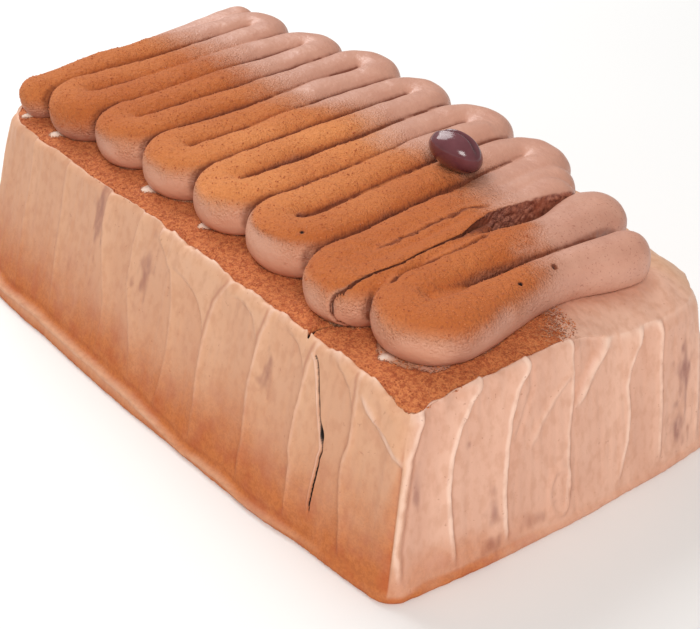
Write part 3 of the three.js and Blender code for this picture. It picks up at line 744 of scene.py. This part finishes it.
def loafRows():  # height, inset and share of the lip, from the base over the edge to the middle of the top
    edge = loaf["edgeRound"]
    turn = np.linspace(0, math.pi / 2, loaf["edgeRows"] + 1)[1:]
    footLevels = np.arange(0, loaf["footRows"], loaf["footGap"])
    sideLevels = np.append(footLevels, np.arange(loaf["footRows"], loaf["height"] - edge, loaf["rowGap"]))
    ledgeInsets = np.arange(loaf["ledgeStart"], loaf["ledgeRun"], loaf["ledgeGap"])
    level = np.append(sideLevels, loaf["height"] - edge * (1 - np.sin(turn)))
    onTop = (lip["insets"], ledgeInsets, loaf["innerInsets"])
    inset = np.concatenate((0 * sideLevels, edge * (1 - np.cos(turn)), *onTop))
    lift = np.concatenate((0 * sideLevels, np.sin(turn) ** lip["power"], lip["shape"]))
    level = np.pad(level, (0, len(inset) - len(level)), constant_values=loaf["height"])
    lift = np.pad(lift, (0, len(inset) - len(lift)))
    return level[:, None], inset[:, None], lift[:, None]


def topDip(x, y, level, inset):  # how far the corners of the top lie lower
    dipX, dipY = lows["dipPlace"]
    dip = lows["cornerDip"] * bell(np.hypot(x - dipX, y - dipY), lows["dipReach"])
    dip = dip * smooth(*lows["dipFrom"], level)
    front, far = (smooth(*spanX, x) * smooth(*spanY, y) for spanX, spanY in lows["shoulderSpans"])
    shoulder = lows["shoulderDrop"] * np.maximum(front, far) * smooth(*lows["shoulderFrom"], level)
    return dip + shoulder * np.clip(1 - inset / lows["shoulderReach"], 0, 1) ** 2


def roundedTop(arch, share):  # height at which a stroke ends
    left, top, peak, right = arch
    rising = left + (top - left) * np.sqrt(1 - np.clip((peak - share) / peak, 0, 1) ** 2)
    falling = right + (top - right) * np.sqrt(1 - np.clip((share - peak) / (1 - peak), 0, 1) ** 2)
    return np.where(share < peak, rising, falling)


def strokeShape(side, strokes, lines, number, place, level):  # from one raised edge to the next
    left, right = lines[number], lines[number + 1]
    rise, arch = strokes[number][1:]
    following = strokes[number + 1][1]
    share = np.clip((place - left) / (right - left), 0, 1)
    if side % 2:  # rises towards the next stroke and drops behind it
        climb = following * share ** spread["curve"]
        fall = rise * smooth(spread["step"], 0, place - left)
    else:  # drops away from its own raised edge and ends under the next one
        climb = rise * (1 - share) ** spread["curve"]
        fall = following * smooth(spread["step"], 0, right - place)
    shape = np.maximum(climb, fall) - spread["dish"] * np.sin(math.pi * share)
    if not arch:
        return shape, 0 * place
    beyond = level - roundedTop(arch, share)
    shape = between(shape, np.maximum(shape, spread["archLevel"]), smooth(*spread["archEdge"], beyond))
    # the rounded top of a stroke carries a painted highlight
    return shape, spread["archHighlight"] * bell(beyond - spread["archShift"], spread["archWidth"])


def strokeRelief(side, place, level):
    strokes, swipes = ((nearStrokes, nearSwipes), (frontStrokes, frontSwipes))[side % 2]
    face = side + 0 * level
    wobble = layered(0 * place, level, face, spread["wobble"])
    wobble = wobble + layered(place, level, face, spread["fineWobble"])
    lines = [lineAt(line, level) + wobble for line, _, _ in strokes]
    relief, crest, shade = 1 + 0 * place, 0 * place, 0 * place
    for number in range(len(strokes) - 1):
        inside = (place >= lines[number]) & (place < lines[number + 1])
        shape, arched = strokeShape(side, strokes, lines, number, place, level)
        relief = np.where(inside, shape, relief)
        crest = np.where(inside, np.maximum(crest, arched), crest)
    # at each raised edge the relief lifts, crest paints a highlight just before it and shade paints shade
    # just past it
    for edge, (_, rise, _) in zip(lines, strokes):
        fromEdge = (place - edge) * (1 if side % 2 else -1)  # the step lies just past the raised edge
        relief = relief + spread["crest"] * rise * bell(fromEdge, spread["crestWidth"])
        crest = np.maximum(crest, rise * bell(fromEdge + spread["highlightShift"], spread["lineWidth"]))
        past = fromEdge - spread["shadeShift"] * spread["step"]
        shade = np.maximum(shade, rise * bell(past, spread["lineWidth"]))
    for line, rise, width in swipes:
        (_, low), (_, high) = line[0], line[-1]
        along = smooth(low - spread["swipeStart"], low + spread["swipeStart"], level)
        along = along * smooth(high + spread["swipeEnd"], high - spread["swipeEnd"], level)
        ridge = rise * bell(place - lineAt(line, level) - wobble, width) * along
        relief = relief + ridge
        crest = np.maximum(crest, ridge * spread["swipeHighlight"][side % 2])
    if side % 2:
        beside = smooth(*scoop["besideSwipe"], place - lineAt(frontSwipes[1][0], level))
        hollow = within(scoop["level"], level) * smooth(*scoop["start"], place) * beside
        relief = relief - scoop["depth"] * hollow
    grown = smooth(*spread["start"], level)
    return between(spread["startRelief"], relief, grown), crest * grown, shade * grown


def ovalReach(oval, place, level):  # 0 in the middle of an oval, 1 on its edge
    middle, height, halfWidth, halfHeight = oval
    return np.hypot((place - middle) / halfWidth, (level - height) / halfHeight)


def cornerCocoa(place, level, blotch):  # cocoa gathers beside the near corner
    fromCorner = place - between(*sideCocoa["cornerPlace"], smooth(*sideCocoa["cornerLean"], level))
    width = between(*sideCocoa["cornerWidth"], smooth(*sideCocoa["cornerNarrows"], level))
    streak = smooth(-sideCocoa["cornerSoft"] * width, 0, fromCorner)
    streak = streak * smooth(*sideCocoa["cornerPast"], fromCorner) * smooth(*sideCocoa["cornerTop"], level)
    share = between(*sideCocoa["cornerShare"], smooth(*sideCocoa["cornerFade"], level))
    share = share * (sideCocoa["cornerLeast"] + sideCocoa["cornerBlotch"] * blotch)
    return share * streak


def sideMarks(side, place, level):
    face = side + 0 * level
    blotch = layered(place, level, face, sideCocoa["blotch"])
    uneven = level + layered(place, level, face, sideCocoa["uneven"])
    if side % 2:  # on the ends it is little, and most beside the near corner
        share = smooth(*sideCocoa["endRun"], place)
        # the rim at the foot of the ends is darker: cocoa, and painted shade
        rim = smooth(*sideCocoa["rimLevel"], level + sideCocoa["rimBlotch"] * blotch)
        rim = rim * (sideCocoa["rim"] + sideCocoa["rimGain"] * blotch)
        rim = rim * between(*sideCocoa["rimShare"], share)
        cocoa = between(*sideCocoa["endShare"], share) * smooth(*sideCocoa["endLevel"], uneven)
        cocoa = np.maximum(cocoa + sideCocoa["endBlotch"] * blotch, rim)
    else:
        cocoa = lineAt(sideCocoa["levels"], uneven) + sideCocoa["longBlotch"] * blotch
    if side == 0:
        cocoa = np.maximum(cocoa, cornerCocoa(place, level, blotch))
    rag = 1 + layered(place, level, 0 * level, sideCocoa["smudgeRag"])
    smudge = 0 * level
    for number, *oval, depth in smudges:
        if number == side:
            reach = ovalReach(oval, place, level) * rag
            smudge = np.maximum(smudge, depth * smooth(*sideCocoa["smudgeEdge"], reach))
    return np.clip(cocoa, 0, 1), smudge


def footRelief(side, place, level):
    wide, long = (smooth(*foot[run], place) * (side == 0) for run in ("wideRun", "longRun"))
    uneven = layered(place, 0 * level, side + 0 * level, foot["uneven"])
    above = level - between(*foot["height"], wide) - uneven
    bulge = foot["bulge"] * (foot["least"] + foot["longShare"] * long + foot["wideShare"] * wide)
    bulge = bulge * smooth(*foot["edge"], above)
    ridge = foot["ridge"] * long * bell(above + foot["ridgeShift"], foot["ridgeWidth"])
    groove = foot["groove"] * long * bell(above - foot["grooveShift"], foot["grooveWidth"])
    rounded = foot["round"] * (1 - np.sqrt(np.clip(level / foot["round"], 0, 1)))
    band = between(*foot["band"], long) * smooth(*foot["bandEdge"], above)
    return bulge + ridge - groove - rounded, band, ridge


def slitShape(place, level, inset):  # the slit in the near side, and the raised edge beside it
    wobble = layered(0 * place, level, 0 * place, sideSlit["wobble"])
    offset = place - lineAt(sideSlit["line"], level) - wobble
    gape = 1 + sideSlit["gape"] * bell(level - sideSlit["gapeLevel"], sideSlit["gapeRun"])
    start = smooth(*sideSlit["start"], level)
    slit = bell(offset, sideSlit["width"] * gape) * start * smooth(*sideSlit["end"], level)
    flap = bell(offset + sideSlit["edgeShift"], sideSlit["edgeWidth"]) * start * (inset == 0)
    return slit * (inset < sideSlit["inset"]), flap


def crackShape(x, y, inset):
    offset = x - lineAt(ledgeCrack["line"], y) - layered(0 * x, y, 0 * x, ledgeCrack["wobble"])
    return bell(offset, ledgeCrack["width"]) * smooth(*ledgeCrack["end"], y) * (inset > ledgeCrack["inset"])


def frontDents(place, level, inset):
    dent = sum(bell(ovalReach(oval, place, level), 1) for oval in dents["ovals"]) * (inset < dents["inset"])
    curled = bell(ovalReach(curl["oval"], place, level) - 1, curl["width"])
    return curl["rise"] * curled - dents["depth"] * dent


def raggedLip(side, place, inset, lift):
    rag = layered(place, 0 * place, side + 0 * place, lip["rag"])
    rag = rag + layered(place, 0 * place, inset, lip["fineRag"])
    present = within(lip["ends"], place) if side == 0 else 1
    return lift * np.clip(1 + rag, *lip["ragRange"]) * between(lip["least"], 1, present)


def besideRope(x, y):  # distance from the rope on the ledge, less than 0 under it
    return np.minimum(*(ropeField(parts, x, y, ledge["ropeLevel"]) for parts in (mainParts, endParts)))


def ledgeCocoa(x, y, inset, outside):
    rag = layered(x, y, 0 * x, ledge["rag"])
    beside = smooth(*ledge["beside"], outside + ledge["besideRag"] * rag)
    rim = ledge["rim"] * smooth(*ledge["rimX"], x) * smooth(*ledge["rimY"], y)
    sieved = dustEdge(x, y, ledge["spill"], ledge["soften"] * smooth(*ledge["softenRun"], x))
    clear = smooth(*ledge["clear"], outside - rim + ledge["clearRag"] * rag)
    kept = between(ledge["underRope"], 1, clear) * np.minimum(beside + (y < ledge["nearStrip"]), 1)
    return sieved * smooth(*ledge["edge"], inset + rag) * kept


def loafBlock(side):  # one side with its share of the top, as rows of points from the base to the middle
    along, length = loafColumns(side)
    level, inset, lift = loafRows()
    x, y, outX, outY = loafSide(side, along, level / loaf["height"], inset)
    level, inset, lift = (value + 0 * x for value in (level, inset, lift))
    place = (x, y, -x, -y)[side]
    face = side + 0 * x
    top = inset > loaf["edgeRound"]
    corner = np.clip(np.minimum(along, 1 - along) * length / loaf["cornerMeet"], 0, 1)  # sides meet smoothly
    dip = topDip(x, y, level, inset)
    shown = level - dip  # height at which a point comes to lie
    relief, crest, shade = strokeRelief(side, place, shown)
    swelling, band, footRidge = footRelief(side, place, level)
    slit, flap = slitShape(place, level, inset) if side == 0 else (0 * x, 0 * x)
    crack = crackShape(x, y, inset)
    lipShown = raggedLip(side, place, inset, lift)
    outside = besideRope(x, y)
    pale = spotted(paleSpots["spots"], x, y) * top

    strokes = relief - spread["level"]
    out = spread["depth"] * strokes + layered(place, level, face, spread["sway"]) * corner
    out = (out + layered(place, level, face, spread["streaks"])) * smooth(*spread["overEdge"], inset)
    wave = layered(place, 0 * x, face, loaf["wave"]) * smooth(*loaf["waveFrom"], level)
    out = out + swelling * (inset == 0) + wave * smooth(*loaf["waveInset"], inset) * corner
    out = out - sideSlit["depth"] * slit + sideSlit["edge"] * flap
    roll = 0
    if side == 1:
        out = out + frontDents(place, level, inset)
        roll = spread["roll"] * strokes * smooth(*spread["rollRun"], y) * within(spread["rollInset"], inset)
    rough = layered(x, y, 0 * x, ledge["rough"]) * top * smooth(*ledge["roughInset"], inset)
    z = level + lip["rise"][side] * lipShown + roll + rough - dip
    z = z - ledgeCrack["depth"] * crack + paleSpots["rise"] * pale

    cocoa, smudge = sideMarks(side, place, shown)
    if side % 2 == 0:
        kept = (side == 0) * smooth(*sideCocoa["nearFront"], x)
        cocoa = cocoa * np.maximum(smooth(*sideCocoa["aroundCorner"], np.abs(outY)), kept)
    # cocoa on the foot, and painted shade at the very base where it meets the floor
    footCocoaAndShade = between(*foot["cocoa"], smooth(*foot["cocoaAndShadeLevel"], level))
    onSide = between(cocoa, footCocoaAndShade, band) - foot["ridgeBare"] * footRidge
    onTop = ledgeCocoa(x, y, inset, outside) * top * (1 - np.clip(paleSpots["clear"] * pale, 0, 1))
    # painted highlight on the raised stroke edges, the slit's edge, the foot ridge and the lip
    crest = np.maximum(crest, sideSlit["edgeHighlight"] * flap) * smooth(*spread["highlightInset"], inset)
    crest = crest * spread["highlightShare"][side % 2] + foot["ridgeHighlight"] * footRidge + lip["crest"] * lipShown
    # painted shade in the hollows of the strokes and just past each raised edge
    hollow = np.clip(spread["hollow"] * smooth(*spread["hollowShadeRelief"], relief) + shade, 0, 1)
    hollow = hollow * smooth(*spread["hollowShadeInset"], inset)
    underLobe = ledge["shade"] * smooth(*ledge["shadeReach"], outside) * smooth(*ledge["shadeRun"], x) * top
    marks = dict(
        cocoa=np.where(top, onTop, onSide), smudge=smudge * ~top, crest=crest * (1 - onTop), pale=pale,
        # slit: painted shade in the slit and the ledge crack
        slit=np.maximum(smooth(*sideSlit["mark"], slit), crack), loose=top * 1.0,
        # warm: painted shade, warmer and darker on the long sides
        hollow=np.maximum(hollow, underLobe), warm=smooth(*loaf["shadedLongSides"], np.abs(outY)),
    )
    return np.stack((x + outX * out, y + outY * out, z), -1), marks


def loafMesh():
    blocks, marks = zip(*(loafBlock(side) for side in range(4)))
    grid = np.concatenate(blocks, 1)
    rows, columns = grid.shape[:2]
    number = np.arange(rows * columns).reshape(rows, columns)
    following = np.roll(number, -1, 1)
    quads = np.stack((number[:-1], following[:-1], following[1:], number[1:]), -1).reshape(-1, 4)
    hubs = np.array(((0, 0, 0), (0, 0, loaf["height"])))
    points = np.concatenate((grid.reshape(-1, 3), hubs))
    under = np.stack((following[0], number[0], np.full(columns, rows * columns)), -1)
    over = np.stack((number[-1], following[-1], np.full(columns, rows * columns + 1)), -1)
    faces = quads.tolist() + under.tolist() + over.tolist()
    values = {key: np.append(np.concatenate([m[key] for m in marks], 1).ravel(), (0, 0)) for key in marks[0]}
    return points, faces, values


frostingTones = dict(
    # hollow is painted shade in stroke hollows, past raised edges and under the last lobe; warm is painted
    # shade on the long sides
    plainDark=(212, 156, 130), plainPale=(243, 197, 172), warm=(226, 176, 132), hollow=(182, 118, 92),
    # crest is a painted highlight along raised edges
    crest=(248, 214, 194), pale=(238, 222, 208), mottle=(190, 126, 92), fleck=(164, 96, 70),
    smudge=(142, 86, 78),
    sievePale=(214, 128, 74), sieveDark=(176, 88, 46), rubbedPale=(198, 114, 58), rubbedDark=(160, 80, 42),
    # slit is painted shade: the slit and the ledge crack are coloured nearly black
    rubbedWarm=(178, 84, 44), slit=(20, 8, 6),
)
frostingGrain = dict(grains=0.5, clumps=1.2, tint=5, streaks=9, blotch=16, mottle=2.2, fleck=1.1, smear=3,
                     rubbed=7, soft=1.6, relief=0.45)  # mm
drawnUp = dict(streaks=(1, 1, 0.15), mottle=(1, 1, 0.6), smear=(1, 1, 0.4))  # stretch of the noise along z
frostingMix = dict(  # shares of the tones, and the limits between which each comes in
    sieveGrains=0.8, sieveClumps=0.5, sieveIn=(0.35, 0.65), tintGrains=0.14, tintPatches=0.3,
    tintIn=(0.1, 0.5), streaks=0.6, blotch=0.4, warm=0.55, hollow=0.6, crest=0.6, highlightIn=(0.15, 1.1),
    mottle=0.28, mottleIn=(0.42, 0.68), fleck=0.4, fleckIn=(0.69, 0.76), smear=(0.4, 1), smearIn=(0.3, 0.6),
    fineGrains=0.8, fineIn=(0.35, 0.7), rubbed=0.35, rubbedWarm=0.55, warmIn=(0.45, 0.65), slitShadeIn=(0.2, 0.55),
    streakRelief=0.25, softRelief=0.15, roughness=(0.5, 0.9),
)


def frostingFinish():
    finish = Finish("spreadFrosting")
    tones = {name: tone(*parts) for name, parts in frostingTones.items()}
    grains = finish.speckle(frostingGrain["grains"])
    clumps = finish.speckle(frostingGrain["clumps"])
    loose = finish.mark("loose")
    amount = finish.mark("cocoa")
    strewn = frostingMix["sieveGrains"] * (grains - 0.5) + frostingMix["sieveClumps"] * (clumps - 0.5)
    sieved = finish.ramp(amount + strewn, *frostingMix["sieveIn"])
    patches = finish.speckle(frostingGrain["tint"], 3)
    tint = frostingMix["tintGrains"] * (grains - 0.5) + frostingMix["tintPatches"] * (patches - 0.5)
    tinted = amount + tint * finish.ramp(amount, *frostingMix["tintIn"])
    dusting = loose * sieved + (1 - loose) * tinted
    streaks = finish.speckle(frostingGrain["streaks"], 3, drawnUp["streaks"])
    blotch = finish.speckle(frostingGrain["blotch"], 3)
    uneven = frostingMix["streaks"] * streaks + frostingMix["blotch"] * blotch
    plain = finish.blend(uneven, tones["plainDark"], tones["plainPale"])
    # painted highlight along raised edges, the lip, the foot ridge and the slit's edge
    crest = finish.ramp(finish.mark("crest"), *frostingMix["highlightIn"])
    mottle = finish.speckle(frostingGrain["mottle"], 4, drawnUp["mottle"])
    mottle = finish.ramp(mottle, *frostingMix["mottleIn"])
    fleck = finish.ramp(finish.speckle(frostingGrain["fleck"]), *frostingMix["fleckIn"])
    smear = finish.ramp(finish.speckle(frostingGrain["smear"], 3, drawnUp["smear"]), *frostingMix["smearIn"])
    shares = dict(  # how much of each tone lies over the ones before it
        # warm: painted shade on the long sides
        warm=frostingMix["warm"] * finish.mark("warm"),
        # hollow: painted shade
        hollow=frostingMix["hollow"] * finish.mark("hollow"),
        # crest: painted highlight
        crest=frostingMix["crest"] * crest,
        pale=finish.mark("pale"),
        mottle=frostingMix["mottle"] * mottle,
        fleck=frostingMix["fleck"] * fleck,
        smudge=finish.mark("smudge") * between(*frostingMix["smear"], smear),
    )
    for name, share in shares.items():
        plain = finish.blend(share, plain, tones[name])
    fine = finish.ramp(clumps + frostingMix["fineGrains"] * (grains - 0.5), *frostingMix["fineIn"])
    sieve = finish.blend(fine, tones["sievePale"], tones["sieveDark"])
    rubbed = finish.blend(frostingMix["rubbed"] * fine, tones["rubbedPale"], tones["rubbedDark"])
    warmer = finish.ramp(finish.speckle(frostingGrain["rubbed"], 3), *frostingMix["warmIn"])
    rubbed = finish.blend(frostingMix["rubbedWarm"] * warmer, rubbed, tones["rubbedWarm"])
    colour = finish.blend(dusting, plain, finish.blend(loose, rubbed, sieve))
    # painted shade: nearly black in the slit and the ledge crack
    colour = finish.blend(finish.ramp(finish.mark("slit"), *frostingMix["slitShadeIn"]), colour, tones["slit"])
    height = dusting * loose * (grains + clumps) + frostingMix["streakRelief"] * streaks
    height = height + frostingMix["softRelief"] * finish.speckle(frostingGrain["soft"])
    normal = finish.relief(height, frostingGrain["relief"])
    roughness = between(*frostingMix["roughness"], amount)
    return finish.surface(Base_Color=colour, Roughness=roughness, Normal=normal)


loafPoints, loafFaces, loafMarks = loafMesh()
makePiece("frostedLoaf", loafPoints, loafFaces, frostingFinish(), loafMarks, "cake_body")


# Chocolate coffee bean

bean = dict(
    length=17, width=13.5, thickness=10.8, place=(36.8, 17.2), lift=0.35, sink=1.7, roll=-0.7, underside=0.85,
    creaseDepth=1.6, creaseWidth=0.12, creaseWave=0.16, creaseLean=0.5, rimRise=0.3, rimShift=0.25,
    rimWidth=0.12, rings=64, rounds=96,
    dark=(96, 48, 54), pale=(122, 72, 78), creaseTone=(44, 14, 18), creaseShade=0.85,
    toneGrain=4, relief=0.06, reliefGrain=2.5, roughness=(0.1, 0.2), glossGrain=1.5,
)


def beanMesh():
    polar = np.linspace(0, math.pi, bean["rings"] + 1)[1:-1, None]
    around = np.linspace(0, 2 * math.pi, bean["rounds"], endpoint=False)[None, :]
    x = np.cos(polar) + 0 * around  # the poles lie at the two ends
    y = np.sin(polar) * np.cos(around)
    z = np.sin(polar) * np.sin(around)
    lean = bean["creaseLean"]
    faceY = y * math.cos(lean) + z * math.sin(lean)
    faceZ = z * math.cos(lean) - y * math.sin(lean)
    offset = faceY - bean["creaseWave"] * np.sin(math.pi * x)
    shown = (faceZ > 0) * (1 - x ** 4)  # the crease runs out at the ends
    groove = bell(offset, bean["creaseWidth"]) * shown
    rim = bean["rimRise"] * bell(np.abs(offset) - bean["rimShift"], bean["rimWidth"]) * shown
    shrink = 1 - (bean["creaseDepth"] * groove - rim) / (bean["thickness"] / 2)
    squash = np.where(z < 0, bean["underside"], 1)
    body = np.stack((x * bean["length"] / 2, y * shrink * bean["width"] / 2,
                     z * shrink * squash * bean["thickness"] / 2), -1)
    rows, columns = body.shape[:2]
    number = np.arange(rows * columns).reshape(rows, columns)
    following = np.roll(number, -1, 1)
    quads = np.stack((number[:-1], number[1:], following[1:], following[:-1]), -1).reshape(-1, 4)
    ends = np.array(((bean["length"] / 2, 0, 0), (-bean["length"] / 2, 0, 0)))
    points = np.concatenate((body.reshape(-1, 3), ends))
    first = np.stack((following[0], np.full(columns, rows * columns), number[0]), -1)
    last = np.stack((number[-1], np.full(columns, rows * columns + 1), following[-1]), -1)
    roll = bean["roll"]
    spin = np.array(((1, 0, 0), (0, math.cos(roll), -math.sin(roll)), (0, math.sin(roll), math.cos(roll))))
    seat = rope["seat"] + bean["lift"] + rope["height"] - bean["sink"] + bean["thickness"] / 2
    points = points @ spin.T + np.array((*bean["place"], seat))
    marks = dict(groove=np.append(groove, (0, 0)))
    return points, quads.tolist() + first.tolist() + last.tolist(), marks


def chocolateFinish():
    finish = Finish("glossyChocolate")
    shade = finish.blend(finish.speckle(bean["toneGrain"]), tone(*bean["dark"]), tone(*bean["pale"]))
    shade = finish.blend(bean["creaseShade"] * finish.mark("groove"), shade, tone(*bean["creaseTone"]))
    roughness = between(*bean["roughness"], finish.speckle(bean["glossGrain"], 3))
    normal = finish.relief(finish.speckle(bean["reliefGrain"]), bean["relief"])
    return finish.surface(Base_Color=shade, Roughness=roughness, Normal=normal)


beanPoints, beanFaces, beanMarks = beanMesh()
makePiece("chocolateBean", beanPoints, beanFaces, chocolateFinish(), beanMarks, "coffee_bean")


# Loose grains of cocoa on the ledge and the rope

grain = dict(
    onLedge=15000, onRope=4000, size=(0.1, 0.34), lumpy=(0.6, 1.2), seed=7, sideways=0.4,
    ledgeCocoa=0.3, ropeCocoa=0.6, slitFree=0.05, nearStrip=-38, margin=4,
    pale=(210, 126, 76), dark=(166, 84, 46), toneGrain=1.6, toneIn=(0.35, 0.65),
    roughness=(0.92, 0.97), dullGrain=1.0,
)


def turnedBlobs(centres, sizes, draw):  # small lumpy eight-sided grains
    shape = np.array(((1, 0, 0), (-1, 0, 0), (0, 1, 0), (0, -1, 0), (0, 0, 1), (0, 0, -1)), float)
    sides = np.array(((0, 2, 4), (2, 1, 4), (1, 3, 4), (3, 0, 4), (2, 0, 5), (1, 2, 5), (3, 1, 5), (0, 3, 5)))
    axes = np.linalg.qr(draw.normal(size=(len(centres), 3, 3)))[0]
    axes = axes * np.sign(np.linalg.det(axes))[:, None, None]
    lengths = sizes[:, None] * draw.uniform(*grain["lumpy"], (len(centres), len(shape)))
    points = centres[:, None, :] + np.einsum("nk,kj,nij->nki", lengths, shape, axes)
    faces = sides[None] + len(shape) * np.arange(len(centres))[:, None, None]
    return points.reshape(-1, 3), faces.reshape(-1, 3)


def grainPlaces(draw):
    unbroken = loafMarks["slit"] < grain["slitFree"]
    onLedge = loafPoints[(loafMarks["loose"] > 0) & (loafMarks["cocoa"] > grain["ledgeCocoa"]) & unbroken]
    x, y, _ = onLedge.T
    low, high = loaf["fineSpan"]
    crowded = (y < grain["nearStrip"]) & (x > low - grain["margin"]) & (x < high)  # points lie closer there
    weight = np.where(crowded, loaf["fineGap"] / loaf["columnGap"][0], 1)
    picked = draw.choice(len(onLedge), grain["onLedge"], p=weight / weight.sum())
    sideways = draw.uniform(-grain["sideways"], grain["sideways"], (grain["onLedge"], 3)) * (1, 1, 0)
    strewn = onLedge[picked] + sideways * ~crowded[picked][:, None]
    points = np.concatenate((mainPoints, endPoints))
    cocoa = [marks["cocoa"] - marks["crease"] - marks["torn"] for marks in (mainMarks, endMarks)]
    dusted = points[np.concatenate(cocoa) > grain["ropeCocoa"]]
    onRope = dusted[draw.integers(0, len(dusted), grain["onRope"])]
    return np.concatenate((strewn, onRope))


def grainFinish():
    finish = Finish("cocoaGrain")
    mixed = finish.ramp(finish.speckle(grain["toneGrain"]), *grain["toneIn"])
    shade = finish.blend(mixed, tone(*grain["pale"]), tone(*grain["dark"]))
    roughness = between(*grain["roughness"], finish.speckle(grain["dullGrain"]))
    return finish.surface(Base_Color=shade, Roughness=roughness)


draw = np.random.default_rng(grain["seed"])
grainCentres = grainPlaces(draw)
grainSizes = draw.uniform(*grain["size"], len(grainCentres))
grainPoints, grainFaces = turnedBlobs(grainCentres, grainSizes, draw)
makePiece("cocoaGrains", grainPoints, grainFaces.tolist(), grainFinish())


# Floor, light and camera

stage = dict(floor=6.0, dark=(244, 243, 242), pale=(250, 250, 249), toneGrain=300, roughness=0.7,
             sky=0.34, lampTarget=(0, 0, 0.04))
lamps = dict(  # place, power, size and colour of each soft light
    keyLight=((0.95, -0.62, 0.95), 12.5, 0.6, (1, 0.98, 0.95)),
    windowLight=((-0.9, 0.1, 0.85), 11, 0.8, (1, 1, 1)),
)
view = dict(place=(0.31379, -0.22936, 0.24476), azimuth=52.6, elevation=31.63, roll=0.26,
            focal=1544.08, imageWidth=700, sensor=36)


def paleFloor():
    half = stage["floor"] / 2
    mesh = bpy.data.meshes.new("paleFloor")
    corners = [(-half, -half, 0), (half, -half, 0), (half, half, 0), (-half, half, 0)]
    mesh.from_pydata(corners, [], [(0, 1, 2, 3)])
    finish = Finish("paleFloor")
    shade = finish.blend(finish.speckle(stage["toneGrain"]), tone(*stage["dark"]), tone(*stage["pale"]))
    mesh.materials.append(finish.surface(Base_Color=shade, Roughness=stage["roughness"]))
    floor = bpy.data.objects.new("paleFloor", mesh)
    bpy.context.scene.collection.objects.link(floor)


def softLight(name, place, power, size, colour):
    light = bpy.data.lights.new(name, "AREA")
    light.energy, light.size, light.color = power, size, colour
    lamp = bpy.data.objects.new(name, light)
    lamp.location = place
    lamp.rotation_euler = (Vector(stage["lampTarget"]) - Vector(place)).to_track_quat("-Z", "Y").to_euler()
    bpy.context.scene.collection.objects.link(lamp)


def photoCamera():
    azimuth, elevation, roll = (math.radians(view[key]) for key in ("azimuth", "elevation", "roll"))
    flat = math.cos(elevation)
    back = Vector((math.sin(azimuth) * flat, -math.cos(azimuth) * flat, math.sin(elevation)))
    right = Vector((math.cos(azimuth), math.sin(azimuth), 0))
    up = back.cross(right)
    level = right * math.cos(roll) + up * math.sin(roll)
    upright = up * math.cos(roll) - right * math.sin(roll)
    data = bpy.data.cameras.new("photoCamera")
    data.sensor_width = view["sensor"]
    data.lens = view["focal"] * view["sensor"] / view["imageWidth"]
    camera = bpy.data.objects.new("photoCamera", data)
    turned = Matrix((level, upright, back)).transposed().to_4x4()
    camera.matrix_world = Matrix.Translation(view["place"]) @ turned
    bpy.context.scene.collection.objects.link(camera)
    bpy.context.scene.camera = camera


paleFloor()
world = bpy.data.worlds.new("paleSky")
world.use_nodes = True
background = world.node_tree.nodes["Background"]
background.inputs["Color"].default_value = (1, 1, 1, 1)
background.inputs["Strength"].default_value = stage["sky"]
bpy.context.scene.world = world
for lampName, settings in lamps.items():
    softLight(lampName, *settings)
photoCamera()
bpy.context.scene.view_settings.view_transform = "Standard"  # plain screen colours
print("stage and camera set")
